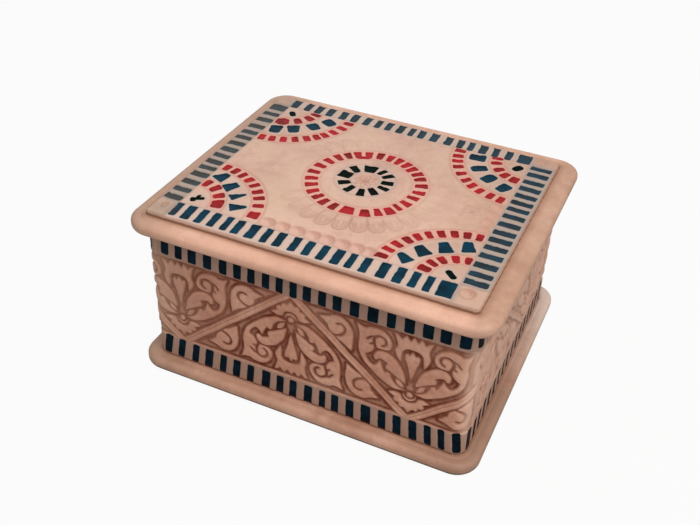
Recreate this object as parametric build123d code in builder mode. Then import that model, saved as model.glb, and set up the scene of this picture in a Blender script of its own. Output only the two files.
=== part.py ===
from build123d import *
import os
from math import ceil, cos, floor, pi, radians, sin, sqrt

# A lidded box for Turkish delight: a thin wooden carcass covered in tooled, dyed leather.
# +Z is up, the front wall faces -Y, the hinges are on the back wall, millimetres.
# Origin: on the surface the box stands on, in the middle of its plan.

# Driving dimensions of the whole box
body_width = 165.0
body_depth = 138.0
body_corner = 7.0
slab_overhang = 6.7
slab_corner = 12.0
slab_edge_slopes = ((1.9, 28), (1.0, 62))
base_height = 7.2
rim_z = 82.0
lid_edge_height = 6.8
lid_panel_thickness = 1.6

# Sheet and board thicknesses
cover_leather = 1.2
turned_leather = 0.9
side_leather = 1.8
wall_thickness = 6.0
rebate_depth = 3.0
lining_thickness = 0.8
sheet_gap = 0.25

# The frieze round the walls, measured along the wall from the middle of the front
frieze_bottom = 20.4
frieze_height = 48.5
frieze_relief = 0.8
frieze_periods = 5
first_vertex = 53.8
ribbon_width = 3.6
ribbon_overrun = 1.5
scroll_groove = 1.2
relief_root = 0.05

# The lid's raised panel and its sunk, dyed cells, from the middle of the lid
cell_depth = 0.3
panel_left = -82.0
panel_right = 79.8
panel_front = -67.6
panel_back = 67.4
panel_corner = 2.5
panel_edge_bevel = 0.5
border_inner = ((-71.5, -53.0), (66.5, 57.2))
border_outer = ((-81.2, -64.3), (77.6, 66.6))
lid_dash_width = 3.8
red_ring_centre = (-1.3, 3.0)
red_ring_radii = (24.0, 30.0)
red_ring_cells = 29
dark_ring_centre = (-2.5, 4.6)
dark_ring_radii = (8.4, 14.0)
dark_ring_cells = 11
fan_outer_radii = (34.0, 39.5)
fan_inner_radii = (16.0, 21.0)
fan_petal_radius = 27.6
fan_petal_size = (6.8, 6.0)
fan_petal_angle = 78
fan_leaf_radius = 7.6
fan_leaf_size = 2.4
fan_dash_width = 3.6
red_cell_width = 3.7
dark_cell_width = 3.8

# The two brass butt hinges on the back wall
hinge_x = 52.0
hinge_length = 20.0
leaf_thickness = 0.8
leaf_reach = 9.3
knuckle_radius = 1.8
knuckle_length = 6.6
knuckle_gap = 0.2
axis_behind_wall = 2.1
pin_radius = 0.9
running_clearance = 0.05
pocket_clearance = 0.4
leaf_screw_spread = 6.4
leaf_screw_y = 64.4
leaf_screw_radius = 0.8
leaf_screw_head = 1.6
leaf_screw_sides = 8
body_screw_length = 9.0
lid_screw_length = 4.4

# The cut nails that hold the base to the walls
nail_shank = 1.8
nail_head = 3.6
nail_head_depth = 0.8
nail_length = 16.0
nail_x = 54.0

# Worked out from the driving dimensions
slab_width = body_width + 2 * slab_overhang
slab_depth = body_depth + 2 * slab_overhang
core_width = slab_width - 2 * cover_leather
core_depth = slab_depth - 2 * cover_leather
core_corner = slab_corner - cover_leather
lid_top = rim_z + lid_edge_height
base_board_bottom = cover_leather
base_board_top = base_height - cover_leather
lid_board_bottom = rim_z + turned_leather
lid_board_top = lid_top - cover_leather
carcass_width = body_width - 2 * side_leather
carcass_depth = body_depth - 2 * side_leather
carcass_corner = body_corner - side_leather
wall_top = rim_z - turned_leather
inner_width = carcass_width - 2 * wall_thickness
inner_depth = carcass_depth - 2 * wall_thickness
lined_width = inner_width - 2 * lining_thickness
lined_depth = inner_depth - 2 * lining_thickness
straight_width = body_width - 2 * body_corner
straight_depth = body_depth - 2 * body_corner
corner_arc = body_corner * pi / 2
girth = 2 * (straight_width + straight_depth) + 4 * corner_arc
half_period = girth / frieze_periods / 2
axis_y = body_depth / 2 + axis_behind_wall
leaf_window = hinge_length / 2 + 0.2
pocket_half = knuckle_radius + pocket_clearance

os.makedirs("parts", exist_ok=True)


def finish(name, builder):
    """Labels a finished piece and writes it to its own file."""
    builder.part.label = name
    export_step(builder.part, f"parts/{name}.step")


def core(bottom, top):
    """The wooden board inside the base or the lid, with rounded plan corners."""
    with BuildPart() as board:
        with BuildSketch(Plane.XY.offset(bottom)):
            RectangleRounded(core_width, core_depth, core_corner)
        extrude(amount=top - bottom)
    return board.part


def covered_slab(bottom, top):
    """The outside of the base or the lid: its edge is rounded over in two slopes, both ways."""
    edge_reach = sum(rise for rise, slope in slab_edge_slopes)
    with BuildPart() as body:
        with BuildSketch(Plane.XY.offset(bottom + edge_reach)):
            RectangleRounded(slab_width, slab_depth, slab_corner)
        extrude(amount=top - bottom - 2 * edge_reach)
        for rise, slope in slab_edge_slopes:
            extrude(body.faces().sort_by(Axis.Z)[-1], amount=rise, taper=slope)
            extrude(body.faces().sort_by(Axis.Z)[0], amount=rise, taper=slope)
    return body.part


def screw(length, up):
    """A countersunk screw of the hinges: its head's flat at the origin, its end up or down."""
    with BuildPart() as body:
        with BuildSketch():
            RegularPolygon(leaf_screw_head, leaf_screw_sides)
        extrude(amount=leaf_screw_head - leaf_screw_radius, taper=45)
        with BuildSketch():
            RegularPolygon(leaf_screw_radius, leaf_screw_sides)
        extrude(amount=length)
    return body.part if up else body.part.rotate(Axis.X, 180)


def nail():
    """A cut nail of the base, square all along, its head's flat at the origin, its end up."""
    with BuildPart() as body:
        Box(nail_head, nail_head, nail_head_depth, align=(Align.CENTER, Align.CENTER, Align.MIN))
        Box(nail_shank, nail_shank, nail_length, align=(Align.CENTER, Align.CENTER, Align.MIN))
    return body.part


# ---------------------------------------------------------------- the base
nail_places = [
    (side * nail_x, end * (carcass_depth - wall_thickness) / 2)
    for side in (-1, 1)
    for end in (-1, 1)
]
nail_places += [(side * (carcass_width - wall_thickness) / 2, 0) for side in (-1, 1)]

with BuildPart() as base_board:
    add(core(base_board_bottom, base_board_top))
    for place in nail_places:
        with Locations((place[0], place[1], base_board_bottom)):
            add(nail(), mode=Mode.SUBTRACT)
finish("base_board", base_board)

underlay_margin = 11.0
with BuildPart() as base_cover:
    add(covered_slab(0, base_height))
    add(core(base_board_bottom, base_board_top), mode=Mode.SUBTRACT)
    with BuildSketch(Plane.XY.offset(base_board_top - 0.5)):
        RectangleRounded(carcass_width, carcass_depth, carcass_corner)
    extrude(amount=base_height, mode=Mode.SUBTRACT)
    with BuildSketch():
        RectangleRounded(
            slab_width - 2 * underlay_margin, slab_depth - 2 * underlay_margin, body_corner
        )
    extrude(amount=cover_leather + 0.5, mode=Mode.SUBTRACT)
finish("base_cover", base_cover)

with BuildPart() as base_underlay:
    with BuildSketch():
        RectangleRounded(
            slab_width - 2 * underlay_margin - 2 * sheet_gap,
            slab_depth - 2 * underlay_margin - 2 * sheet_gap,
            body_corner - sheet_gap,
        )
    extrude(amount=cover_leather)
finish("base_underlay", base_underlay)

with BuildPart() as base_nails:
    for place in nail_places:
        with Locations((place[0], place[1], base_board_bottom)):
            add(nail())
finish("base_nails", base_nails)


# ---------------------------------------------------------------- the four walls
def wall_board(name, along_x, side):
    """One wall: the long walls are rebated at their ends and take the short ones between them."""
    half_x = carcass_width / 2
    half_y = carcass_depth / 2
    with BuildPart() as board:
        with BuildSketch(Plane.XY.offset(base_board_top)):
            RectangleRounded(carcass_width, carcass_depth, carcass_corner)
            if along_x:
                with Locations((0, side * (half_y - wall_thickness / 2))):
                    Rectangle(carcass_width, wall_thickness, mode=Mode.INTERSECT)
                tongue = wall_thickness - rebate_depth
                with Locations(
                    (half_x - wall_thickness / 2, side * (half_y - wall_thickness + tongue / 2)),
                    (-half_x + wall_thickness / 2, side * (half_y - wall_thickness + tongue / 2)),
                ):
                    Rectangle(wall_thickness, tongue, mode=Mode.SUBTRACT)
            else:
                with Locations((side * (half_x - wall_thickness / 2), 0)):
                    Rectangle(
                        wall_thickness, carcass_depth - 2 * rebate_depth, mode=Mode.INTERSECT
                    )
        extrude(amount=wall_top - base_board_top)
        for place in nail_places:
            with Locations((place[0], place[1], base_board_bottom)):
                add(nail(), mode=Mode.SUBTRACT)
        if along_x and side > 0:
            for centre in (-hinge_x, hinge_x):
                for step in (-leaf_screw_spread, leaf_screw_spread):
                    with Locations((centre + step, leaf_screw_y, wall_top + leaf_thickness)):
                        add(screw(body_screw_length, up=False), mode=Mode.SUBTRACT)
    finish(name, board)


wall_board("front_board", True, -1)
wall_board("back_board", True, 1)
wall_board("left_board", False, -1)
wall_board("right_board", False, 1)


# ---------------------------------------------------------------- the frieze's ornament
# Each outline is the right half of an upright palmette: x from its axis, y from the frieze's foot.
side_leaf_outline = (
    (2.6, 15.3), (10.0, 15.4), (20.5, 23.4), (25.2, 33.0), (26.7, 46.0), (22.0, 44.7), (16.6, 46.1),
    (10.6, 42.0), (10.8, 36.2), (17.6, 34.8), (22.0, 30.2), (18.2, 24.6), (15.2, 28.3), (12.2, 22.2),
    (9.8, 22.7), (8.0, 18.6),
)
side_leaf_groove = ((17.2, 33.2), (19.0, 41.4), (14.8, 40.4))
inner_leaf_outline = (
    (2.4, 19.8), (4.6, 27.6), (9.6, 32.8), (15.4, 33.7), (18.1, 29.2), (11.2, 28.2), (11.4, 25.0),
)
scroll_outline = (
    (28.6, 28.6), (28.4, 39.0), (33.0, 45.4), (44.8, 43.1), (40.8, 39.8), (38.4, 34.6),
)
scroll_groove_line = ((38.8, 34.2), (32.6, 37.6), (35.6, 41.6))
crown_outline = ((0, 3.4), (2.4, 5.6), (5.0, 7.2), (9.4, 11.4), (4.0, 12.4), (0, 9.4))
bud_outline = ((0, 23.0), (3.1, 34.0), (2.4, 37.2), (0, 38.8))
tulip_outline = (
    (0, 40.6), (4.6, 38.4), (5.4, 31.5), (7.8, 37.4), (8.7, 46.8), (5.4, 44.8), (3.0, 47.4),
    (0, 45.2),
)

with BuildSketch() as half_palmette:
    for outline in (
        side_leaf_outline, inner_leaf_outline, scroll_outline, crown_outline, bud_outline,
        tulip_outline,
    ):
        with BuildLine():
            Polyline(*outline, close=True)
        make_face()
    for line in (side_leaf_groove, scroll_groove_line):
        with BuildLine():
            Polyline(*line)
        trace(line_width=scroll_groove, mode=Mode.SUBTRACT)

with BuildSketch() as palmette:
    add(half_palmette.sketch)
    add(half_palmette.sketch.mirror(Plane.YZ))


def frieze_window(middle, width):
    """The stretch of the frieze that is centred on middle, laid flat, with its foot on X."""
    first = floor((middle - width / 2 - first_vertex) / half_period) - 1
    last = ceil((middle + width / 2 - first_vertex) / half_period) + 1
    low = -ribbon_overrun
    high = frieze_height + ribbon_overrun
    with BuildSketch() as window:
        for step in range(first, last + 1):
            place = first_vertex + step * half_period - middle
            upright = step % 2 == 0
            with Locations((place, 0 if upright else frieze_height)):
                add(palmette.sketch, rotation=0 if upright else 180)
            start = (place, low if upright else high)
            end = (place + half_period, high if upright else low)
            with BuildLine():
                Line(start, end)
            trace(line_width=ribbon_width)
        with Locations((0, frieze_height / 2)):
            Rectangle(width, frieze_height, mode=Mode.INTERSECT)
    return window.sketch


def wall_plane(turn, reach, foot):
    """A plane on a wall: turn is 0 at the front and counts towards the right, in degrees."""
    outward = (sin(radians(turn)), -cos(radians(turn)), 0)
    along = (cos(radians(turn)), sin(radians(turn)), 0)
    origin = (reach[0] + outward[0] * reach[2], reach[1] + outward[1] * reach[2], foot)
    return Plane(origin=origin, x_dir=along, z_dir=outward)


flat_walls = (
    (0, (0, 0, body_depth / 2), 0, straight_width),
    (90, (0, 0, body_width / 2), (straight_width + straight_depth) / 2 + corner_arc, straight_depth),
    (180, (0, 0, body_depth / 2), girth / 2, straight_width),
    (270, (0, 0, body_width / 2), -(straight_width + straight_depth) / 2 - corner_arc, straight_depth),
)
round_corners = tuple(
    (
        45 + 90 * k,
        (sx * straight_width / 2, sy * straight_depth / 2, body_corner),
        (flat_walls[k][2] + (flat_walls[k][3] + corner_arc) / 2),
    )
    for k, (sx, sy) in enumerate(((1, -1), (1, 1), (-1, 1), (-1, -1)))
)


def corner_shell(centre):
    """A ring just under a corner's surface, as deep as the relief, to trim the ornament there."""
    with BuildPart() as ring:
        with BuildSketch(Plane.XY.offset(frieze_bottom)):
            with Locations((centre[0], centre[1])):
                Circle(body_corner)
                Circle(body_corner - frieze_relief - relief_root, mode=Mode.SUBTRACT)
        extrude(amount=frieze_height)
    return ring.part


def corner_relief(turn, reach, middle):
    """The frieze's stretch at a corner of the body, pressed round the corner's curve."""
    chord = body_corner * sqrt(2)
    with BuildPart() as relief:
        with BuildSketch(wall_plane(turn, reach, frieze_bottom)):
            add(frieze_window(middle, corner_arc))
            scale(by=(chord / corner_arc, 1, 1))
        extrude(amount=-body_corner / 2)
        add(corner_shell(reach), mode=Mode.INTERSECT)
    return relief.part


# ---------------------------------------------------------------- the leather round the walls
with BuildPart() as side_wrap:
    with BuildSketch(Plane.XY.offset(base_height)):
        RectangleRounded(body_width, body_depth, body_corner)
        RectangleRounded(carcass_width, carcass_depth, carcass_corner, mode=Mode.SUBTRACT)
    extrude(amount=rim_z - base_height)
    with BuildSketch(Plane.XY.offset(wall_top)):
        RectangleRounded(body_width, body_depth, body_corner)
        Rectangle(inner_width, inner_depth, mode=Mode.SUBTRACT)
    extrude(amount=turned_leather)
    with BuildSketch(Plane.XY.offset(frieze_bottom)):
        RectangleRounded(body_width, body_depth, body_corner)
        RectangleRounded(
            body_width - 2 * frieze_relief,
            body_depth - 2 * frieze_relief,
            body_corner - frieze_relief,
            mode=Mode.SUBTRACT,
        )
    extrude(amount=frieze_height, mode=Mode.SUBTRACT)
    for turn, reach, middle, width in flat_walls:
        with BuildSketch(wall_plane(turn, reach, frieze_bottom)):
            add(frieze_window(middle, width))
        extrude(amount=-frieze_relief - relief_root)
    for corner in round_corners:
        add(corner_relief(*corner))
    for centre in (-hinge_x, hinge_x):
        with BuildSketch(Plane.XY.offset(wall_top)):
            with Locations((centre, axis_y - leaf_reach / 2)):
                Rectangle(2 * leaf_window, leaf_reach + 0.4)
        extrude(amount=2 * turned_leather, mode=Mode.SUBTRACT)
finish("side_wrap", side_wrap)

# ---------------------------------------------------------------- the lining
with BuildPart() as floor_lining:
    with BuildSketch(Plane.XY.offset(base_board_top)):
        Rectangle(inner_width, inner_depth)
    extrude(amount=lining_thickness)
finish("floor_lining", floor_lining)


def wall_lining(name, along_x, side):
    """One lining panel, from the floor lining to the wall's top."""
    foot = base_board_top + lining_thickness
    with BuildPart() as panel:
        with BuildSketch(Plane.XY.offset(foot)):
            if along_x:
                with Locations((0, side * (inner_depth - lining_thickness) / 2)):
                    Rectangle(inner_width, lining_thickness)
            else:
                with Locations((side * (inner_width - lining_thickness) / 2, 0)):
                    Rectangle(lining_thickness, lined_depth)
        extrude(amount=wall_top - foot)
    finish(name, panel)


wall_lining("front_lining", True, -1)
wall_lining("back_lining", True, 1)
wall_lining("left_lining", False, -1)
wall_lining("right_lining", False, 1)


# ---------------------------------------------------------------- the lid
def barrel_pocket(bottom):
    """The slots in the lid's underside that leave the hinge barrels room to turn."""
    with BuildPart() as pocket:
        with BuildSketch(Plane.XY.offset(bottom)):
            with Locations((-hinge_x, axis_y), (hinge_x, axis_y)):
                Rectangle(hinge_length + 1.2, 2 * pocket_half)
        extrude(amount=rim_z + pocket_half - bottom)
    return pocket.part


def lid_screw_set():
    """The screws that hold both lid leaves, pointing up."""
    with BuildPart() as screws:
        for centre in (-hinge_x, hinge_x):
            for step in (-leaf_screw_spread, leaf_screw_spread):
                with Locations((centre + step, leaf_screw_y, lid_board_bottom - leaf_thickness)):
                    add(screw(lid_screw_length, up=True))
    return screws.part


lid_core = core(lid_board_bottom, lid_board_top)

with BuildPart() as lid_board:
    add(lid_core)
    add(barrel_pocket(rim_z), mode=Mode.SUBTRACT)
    add(lid_screw_set(), mode=Mode.SUBTRACT)
finish("lid_board", lid_board)

with BuildPart() as lid_cover:
    add(covered_slab(rim_z, lid_top))
    add(lid_core, mode=Mode.SUBTRACT)
    with BuildSketch(Plane.XY.offset(rim_z)):
        Rectangle(lined_width, lined_depth)
        for centre in (-hinge_x, hinge_x):
            with Locations((centre, axis_y - leaf_reach / 2)):
                Rectangle(2 * leaf_window, leaf_reach + 0.4)
    extrude(amount=turned_leather, mode=Mode.SUBTRACT)
    add(barrel_pocket(rim_z), mode=Mode.SUBTRACT)
finish("lid_cover", lid_cover)

with BuildPart() as lid_lining:
    with BuildSketch(Plane.XY.offset(lid_board_bottom - lining_thickness)):
        Rectangle(lined_width - 2 * sheet_gap, lined_depth - 2 * sheet_gap)
    extrude(amount=lining_thickness)
finish("lid_lining", lid_lining)


# ---------------------------------------------------------------- the lid's tooled panel
def dash_row(start, end, count, length, along_x):
    """A straight row of dashes from start to end, each as long as length across the row."""
    with BuildSketch() as row:
        for k in range(count):
            t = k / (count - 1)
            with Locations((start[0] + (end[0] - start[0]) * t, start[1] + (end[1] - start[1]) * t)):
                if along_x:
                    Rectangle(lid_dash_width, length)
                else:
                    Rectangle(length, lid_dash_width)
    return row.sketch


def cell_ring(centre, radii, count, width):
    """A ring of dyed cells round a centre, evenly spaced."""
    with BuildSketch() as ring:
        with Locations(centre):
            with PolarLocations((radii[0] + radii[1]) / 2, count):
                Rectangle(radii[1] - radii[0], width)
    return ring.sketch


def fan(outer_cells, inner_cells):
    """A quarter fan in the first quadrant: two arcs of cells, four petals and one leaf."""
    with BuildSketch() as quarter:
        for radii, cells in ((fan_outer_radii, outer_cells), (fan_inner_radii, inner_cells)):
            step = 90 / cells
            with PolarLocations((radii[0] + radii[1]) / 2, cells, step / 2, 90 - step):
                Rectangle(radii[1] - radii[0], fan_dash_width)
        with PolarLocations(fan_petal_radius, 4, 11.25, 67.5):
            Trapezoid(fan_petal_size[0], fan_petal_size[1], fan_petal_angle, rotation=-90)
        with PolarLocations(fan_leaf_radius, 1, 45):
            RegularPolygon(fan_leaf_size, 6)
    return quarter.sketch


(inner_left, inner_front), (inner_right, inner_back) = border_inner
(outer_left, outer_front), (outer_right, outer_back) = border_outer
front_middle = (inner_front + outer_front) / 2
back_middle = (inner_back + outer_back) / 2
left_middle = (inner_left + outer_left) / 2
right_middle = (inner_right + outer_right) / 2
row_inset = 2.2

with BuildPart() as lid_panel:
    with BuildSketch(Plane.XY.offset(lid_top)):
        with Locations(((panel_left + panel_right) / 2, (panel_front + panel_back) / 2)):
            RectangleRounded(panel_right - panel_left, panel_back - panel_front, panel_corner)
    extrude(amount=lid_panel_thickness)
    chamfer(lid_panel.faces().sort_by(Axis.Z)[-1].edges(), panel_edge_bevel)
    with BuildSketch(Plane.XY.offset(lid_top + lid_panel_thickness)):
        add(
            dash_row(
                (inner_left + row_inset, front_middle), (inner_right - row_inset, front_middle),
                20, inner_front - outer_front, True,
            )
        )
        add(
            dash_row(
                (inner_left + row_inset, back_middle), (inner_right - row_inset, back_middle),
                20, outer_back - inner_back, True,
            )
        )
        add(
            dash_row(
                (left_middle, inner_front + row_inset), (left_middle, inner_back - row_inset),
                15, inner_left - outer_left, False,
            )
        )
        add(
            dash_row(
                (right_middle, inner_front + row_inset), (right_middle, inner_back - row_inset),
                16, outer_right - inner_right, False,
            )
        )
        add(cell_ring(red_ring_centre, red_ring_radii, red_ring_cells, red_cell_width))
        add(cell_ring(dark_ring_centre, dark_ring_radii, dark_ring_cells, dark_cell_width))
        for place, turn, outer_cells, inner_cells in (
            ((inner_left, inner_front), 0, 9, 4),
            ((inner_right, inner_front), 90, 10, 5),
            ((inner_right, inner_back), 180, 10, 5),
            ((inner_left, inner_back), 270, 10, 4),
        ):
            with Locations(place):
                add(fan(outer_cells, inner_cells), rotation=turn)
    extrude(amount=-cell_depth, mode=Mode.SUBTRACT)
finish("lid_panel", lid_panel)


# ---------------------------------------------------------------- the hinges
def knuckle(centre, start, length, bore):
    """One barrel of a hinge, along X, with its bore."""
    with BuildPart() as barrel:
        with BuildSketch(Plane(origin=(centre + start, axis_y, rim_z), z_dir=(1, 0, 0))):
            Circle(knuckle_radius)
            Circle(bore, mode=Mode.SUBTRACT)
        extrude(amount=length)
    return barrel.part


def bore_block(centre, radius):
    """A rod that clears a knuckle's bore through the root of its leaf."""
    with BuildPart() as rod:
        with BuildSketch(Plane(origin=(centre - hinge_length, axis_y, rim_z), z_dir=(1, 0, 0))):
            Circle(radius)
        extrude(amount=2 * hinge_length)
    return rod.part


def hinge_leaf(name, centre, of_lid):
    """A leaf with its knuckles: the body leaf has two, the lid leaf has the middle one."""
    foot = lid_board_bottom - leaf_thickness if of_lid else wall_top
    bore = pin_radius + running_clearance if of_lid else pin_radius
    half = hinge_length / 2
    middle_half = knuckle_length / 2 + knuckle_gap
    spans = ((-knuckle_length / 2, knuckle_length),) if of_lid else (
        (-half, half - middle_half),
        (middle_half, half - middle_half),
    )
    with BuildPart() as leaf:
        with BuildSketch(Plane.XY.offset(foot)):
            with Locations((centre, axis_y - (leaf_reach + pocket_half) / 2)):
                Rectangle(hinge_length, leaf_reach - pocket_half)
            for start, length in spans:
                with Locations((centre + start + length / 2, axis_y - leaf_reach / 2)):
                    Rectangle(length, leaf_reach)
        extrude(amount=leaf_thickness)
        for start, length in spans:
            add(knuckle(centre, start, length, bore))
        add(bore_block(centre, bore), mode=Mode.SUBTRACT)
        for step in (-leaf_screw_spread, leaf_screw_spread):
            head_z = foot if of_lid else foot + leaf_thickness
            with Locations((centre + step, leaf_screw_y, head_z)):
                add(screw(lid_screw_length, up=of_lid), mode=Mode.SUBTRACT)
    finish(name, leaf)


def hinge_pin(name, centre):
    """The pin, driven into the body leaf's knuckles."""
    with BuildPart() as pin:
        with BuildSketch(Plane(origin=(centre - hinge_length / 2, axis_y, rim_z), z_dir=(1, 0, 0))):
            Circle(pin_radius)
        extrude(amount=hinge_length)
    finish(name, pin)


for side_name, centre in (("left", -hinge_x), ("right", hinge_x)):
    hinge_leaf(f"{side_name}_hinge_body_leaf", centre, False)
    hinge_leaf(f"{side_name}_hinge_lid_leaf", centre, True)
    hinge_pin(f"{side_name}_hinge_pin", centre)

with BuildPart() as body_hinge_screws:
    for centre in (-hinge_x, hinge_x):
        for step in (-leaf_screw_spread, leaf_screw_spread):
            with Locations((centre + step, leaf_screw_y, wall_top + leaf_thickness)):
                add(screw(body_screw_length, up=False))
finish("body_hinge_screws", body_hinge_screws)

with BuildPart() as lid_hinge_screws:
    add(lid_screw_set())
finish("lid_hinge_screws", lid_hinge_screws)
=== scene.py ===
from math import cos, pi, radians, sin

import bmesh
import bpy
import numpy as np
from mathutils import Matrix, Vector


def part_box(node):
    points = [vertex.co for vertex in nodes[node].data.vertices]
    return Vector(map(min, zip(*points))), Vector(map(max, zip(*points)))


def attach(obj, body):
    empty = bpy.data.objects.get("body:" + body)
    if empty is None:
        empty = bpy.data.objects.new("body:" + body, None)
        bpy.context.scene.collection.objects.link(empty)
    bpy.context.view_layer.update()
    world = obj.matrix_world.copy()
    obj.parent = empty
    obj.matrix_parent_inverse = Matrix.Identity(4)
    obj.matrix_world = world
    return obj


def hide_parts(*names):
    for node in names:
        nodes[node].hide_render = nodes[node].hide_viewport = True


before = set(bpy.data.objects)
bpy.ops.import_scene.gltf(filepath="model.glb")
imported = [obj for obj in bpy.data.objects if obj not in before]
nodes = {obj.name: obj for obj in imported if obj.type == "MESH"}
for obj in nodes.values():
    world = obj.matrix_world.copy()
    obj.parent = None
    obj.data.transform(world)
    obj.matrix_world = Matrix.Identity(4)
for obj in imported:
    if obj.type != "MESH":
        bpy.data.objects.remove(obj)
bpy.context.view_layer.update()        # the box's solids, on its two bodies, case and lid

mm = 0.001


# ---------------------------------------------------------------- camera, lamps and table
# The box stands on a white table and is looked down on from in front and a little to the right.
# A broad lamp hangs overhead; a window behind at the left and a small lamp at the right add a sheen.
def add_object(name, data):
    """Puts a mesh, a lamp or a camera into the scene as a new object."""
    thing = bpy.data.objects.new(name, data)
    bpy.context.scene.collection.objects.link(thing)
    return thing


camera_place = (141.5, -345.0, 319.0)
camera_turn, camera_dip, camera_roll = 23.27, 36.39, 2.34
camera_data = bpy.data.cameras.new("camera")
camera_data.lens = 46.3
camera_data.clip_start = 0.01
camera = add_object("camera", camera_data)
camera.matrix_world = (
    Matrix.Translation(Vector(camera_place) * mm)
    @ Matrix.Rotation(radians(camera_turn), 4, "Z")
    @ Matrix.Rotation(radians(90 - camera_dip), 4, "X")
    @ Matrix.Rotation(radians(camera_roll), 4, "Z")
)
bpy.context.scene.camera = camera
bpy.context.scene.view_settings.view_transform = "Standard"


def hang_lamp(name, place, size, watts, colour):
    """A square soft lamp at a place in metres, turned to face the box."""
    box_middle = Vector((0, 0, 0.05))
    data = bpy.data.lights.new(name, "AREA")
    data.size = size
    data.energy = watts
    data.color = colour
    lamp = add_object(name, data)
    lamp.location = place
    lamp.rotation_mode = "QUATERNION"
    lamp.rotation_quaternion = (Vector(place) - box_middle).to_track_quat("Z", "Y")


hang_lamp("overhead_lamp", (0.34, -0.37, 1.0), 0.9, 8.75, (1.0, 0.97, 0.94))
hang_lamp("window_lamp", (-0.55, 1.05, 0.6), 0.8, 2.2, (0.92, 0.96, 1.0))
hang_lamp("edge_lamp", (0.62, -0.15, 0.55), 0.25, 0.45, (1.0, 0.97, 0.93))


def add_node(tree, kind, inputs=None, **settings):
    """One shader node: settings are its properties, inputs its sockets' values or sources."""
    node = tree.nodes.new("ShaderNode" + kind)
    for key, value in settings.items():
        setattr(node, key, value)
    for key, value in (inputs or {}).items():
        if isinstance(value, bpy.types.NodeSocket):
            tree.links.new(value, node.inputs[key])
        else:
            node.inputs[key].default_value = value
    return node


def seen_directly(tree):
    """1 for the camera's own rays, which should meet a white surround, and 0 for the rest."""
    return add_node(tree, "LightPath").outputs["Is Camera Ray"]


def times(tree, product, *others):
    """The product of sockets and numbers."""
    for other in others:
        product = add_node(tree, "Math", {0: product, 1: other}, operation="MULTIPLY").outputs[0]
    return product


world = bpy.data.worlds.new("studio")
bpy.context.scene.world = world
world.use_nodes = True
world_tree = world.node_tree
world_tree.nodes.clear()
fill_light = add_node(world_tree, "Background", {"Color": (1.0, 0.98, 0.96, 1), "Strength": 0.37})
white_surround = add_node(world_tree, "Background", {"Color": (1, 1, 1, 1), "Strength": 1.0})
world_mix = add_node(
    world_tree, "MixShader",
    {0: seen_directly(world_tree), 1: fill_light.outputs[0], 2: white_surround.outputs[0]},
)
add_node(world_tree, "OutputWorld", {"Surface": world_mix.outputs[0]})

table_reach = 3.0
table_white = 0.94
table_mesh = bpy.data.meshes.new("table")
table_mesh.from_pydata(
    [(x * table_reach, y * table_reach, 0) for x, y in ((-1, -1), (1, -1), (1, 1), (-1, 1))],
    [], [(0, 1, 2, 3)],
)
table = add_object("table", table_mesh)
table_material = bpy.data.materials.new("white_table")
table_material.use_nodes = True
table_tree = table_material.node_tree
table_tree.nodes.clear()
table_paint = add_node(table_tree, "BsdfDiffuse", {"Color": (0.52, 0.51, 0.50, 1)})
table_glow = add_node(table_tree, "Emission", {"Color": (1, 1, 1, 1), "Strength": 1.0})
table_mix = add_node(table_tree, "MixShader", {
    0: times(table_tree, seen_directly(table_tree), table_white),
    1: table_paint.outputs[0], 2: table_glow.outputs[0],
})
add_node(table_tree, "OutputMaterial", {"Surface": table_mix.outputs[0]})
table_mesh.materials.append(table_material)


# ---------------------------------------------------------------- the wooden carcass
# Planed beech boards: a board in the base, four walls rebated at the corners, one in the lid.
# They are glued, nailed from below and covered all over.
def start_material(name, roughness, **shader_values):
    """A new node material: returns it, its tree, its Principled shader and Object coordinates."""
    material = bpy.data.materials.new(name)
    material.use_nodes = True
    tree = material.node_tree
    shader = tree.nodes["Principled BSDF"]
    shader.inputs["Roughness"].default_value = roughness
    for key, value in shader_values.items():
        shader.inputs[key.replace("_", " ")].default_value = value
    coords = add_node(tree, "TexCoord").outputs["Object"]
    return material, tree, shader, coords


def lead_into(shader, **sources):
    """Leads sockets into a shader's inputs, named with an underscore for each space."""
    for key, source in sources.items():
        shader.id_data.links.new(source, shader.inputs[key.replace("_", " ")])


def stretched(tree, coords, scale):
    """Object coordinates times a scale along each axis."""
    return add_node(tree, "Mapping", {"Vector": coords, "Scale": scale}).outputs[0]


def noise(tree, coords, scale, detail=3.0, roughness=0.5):
    """Fractal noise from 0 to 1, scale being its cells to the metre."""
    return add_node(
        tree, "TexNoise",
        {"Vector": coords, "Scale": scale, "Detail": detail, "Roughness": roughness},
    ).outputs["Fac"]


def ramp(tree, factor, stops):
    """A colour ramp over the factor: stops are (position, colour)."""
    node = add_node(tree, "ValToRGB", {"Fac": factor})
    elements = node.color_ramp.elements
    while len(elements) < len(stops):
        elements.new(0.5)
    for element, (position, colour) in zip(elements, stops):
        element.position = position
        element.color = (*colour, 1)
    return node.outputs["Color"]


def bump(tree, height, depth, strength=1.0, under=None):
    """A bump of the given depth in metres, on top of the one under it."""
    inputs = {"Height": height, "Distance": depth, "Strength": strength}
    if under is not None:
        inputs["Normal"] = under
    return add_node(tree, "Bump", inputs).outputs["Normal"]


def wood(name, grain_scale):
    """Beech: long grain lines from noise stretched along the board, with darker flecks."""
    material, tree, shader, coords = start_material(name, 0.62)
    long_grain = noise(tree, stretched(tree, coords, grain_scale), 1.0, 5.0)
    browns = ((0.25, (0.42, 0.25, 0.13)), (0.5, (0.56, 0.36, 0.20)), (0.75, (0.66, 0.46, 0.28)))
    lead_into(shader, Base_Color=ramp(tree, long_grain, browns), Normal=bump(tree, long_grain, 0.15 * mm))
    return material


def dress(node, material):
    """Gives one of the box's solids its material alone."""
    nodes[node].data.materials.clear()
    nodes[node].data.materials.append(material)


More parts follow.
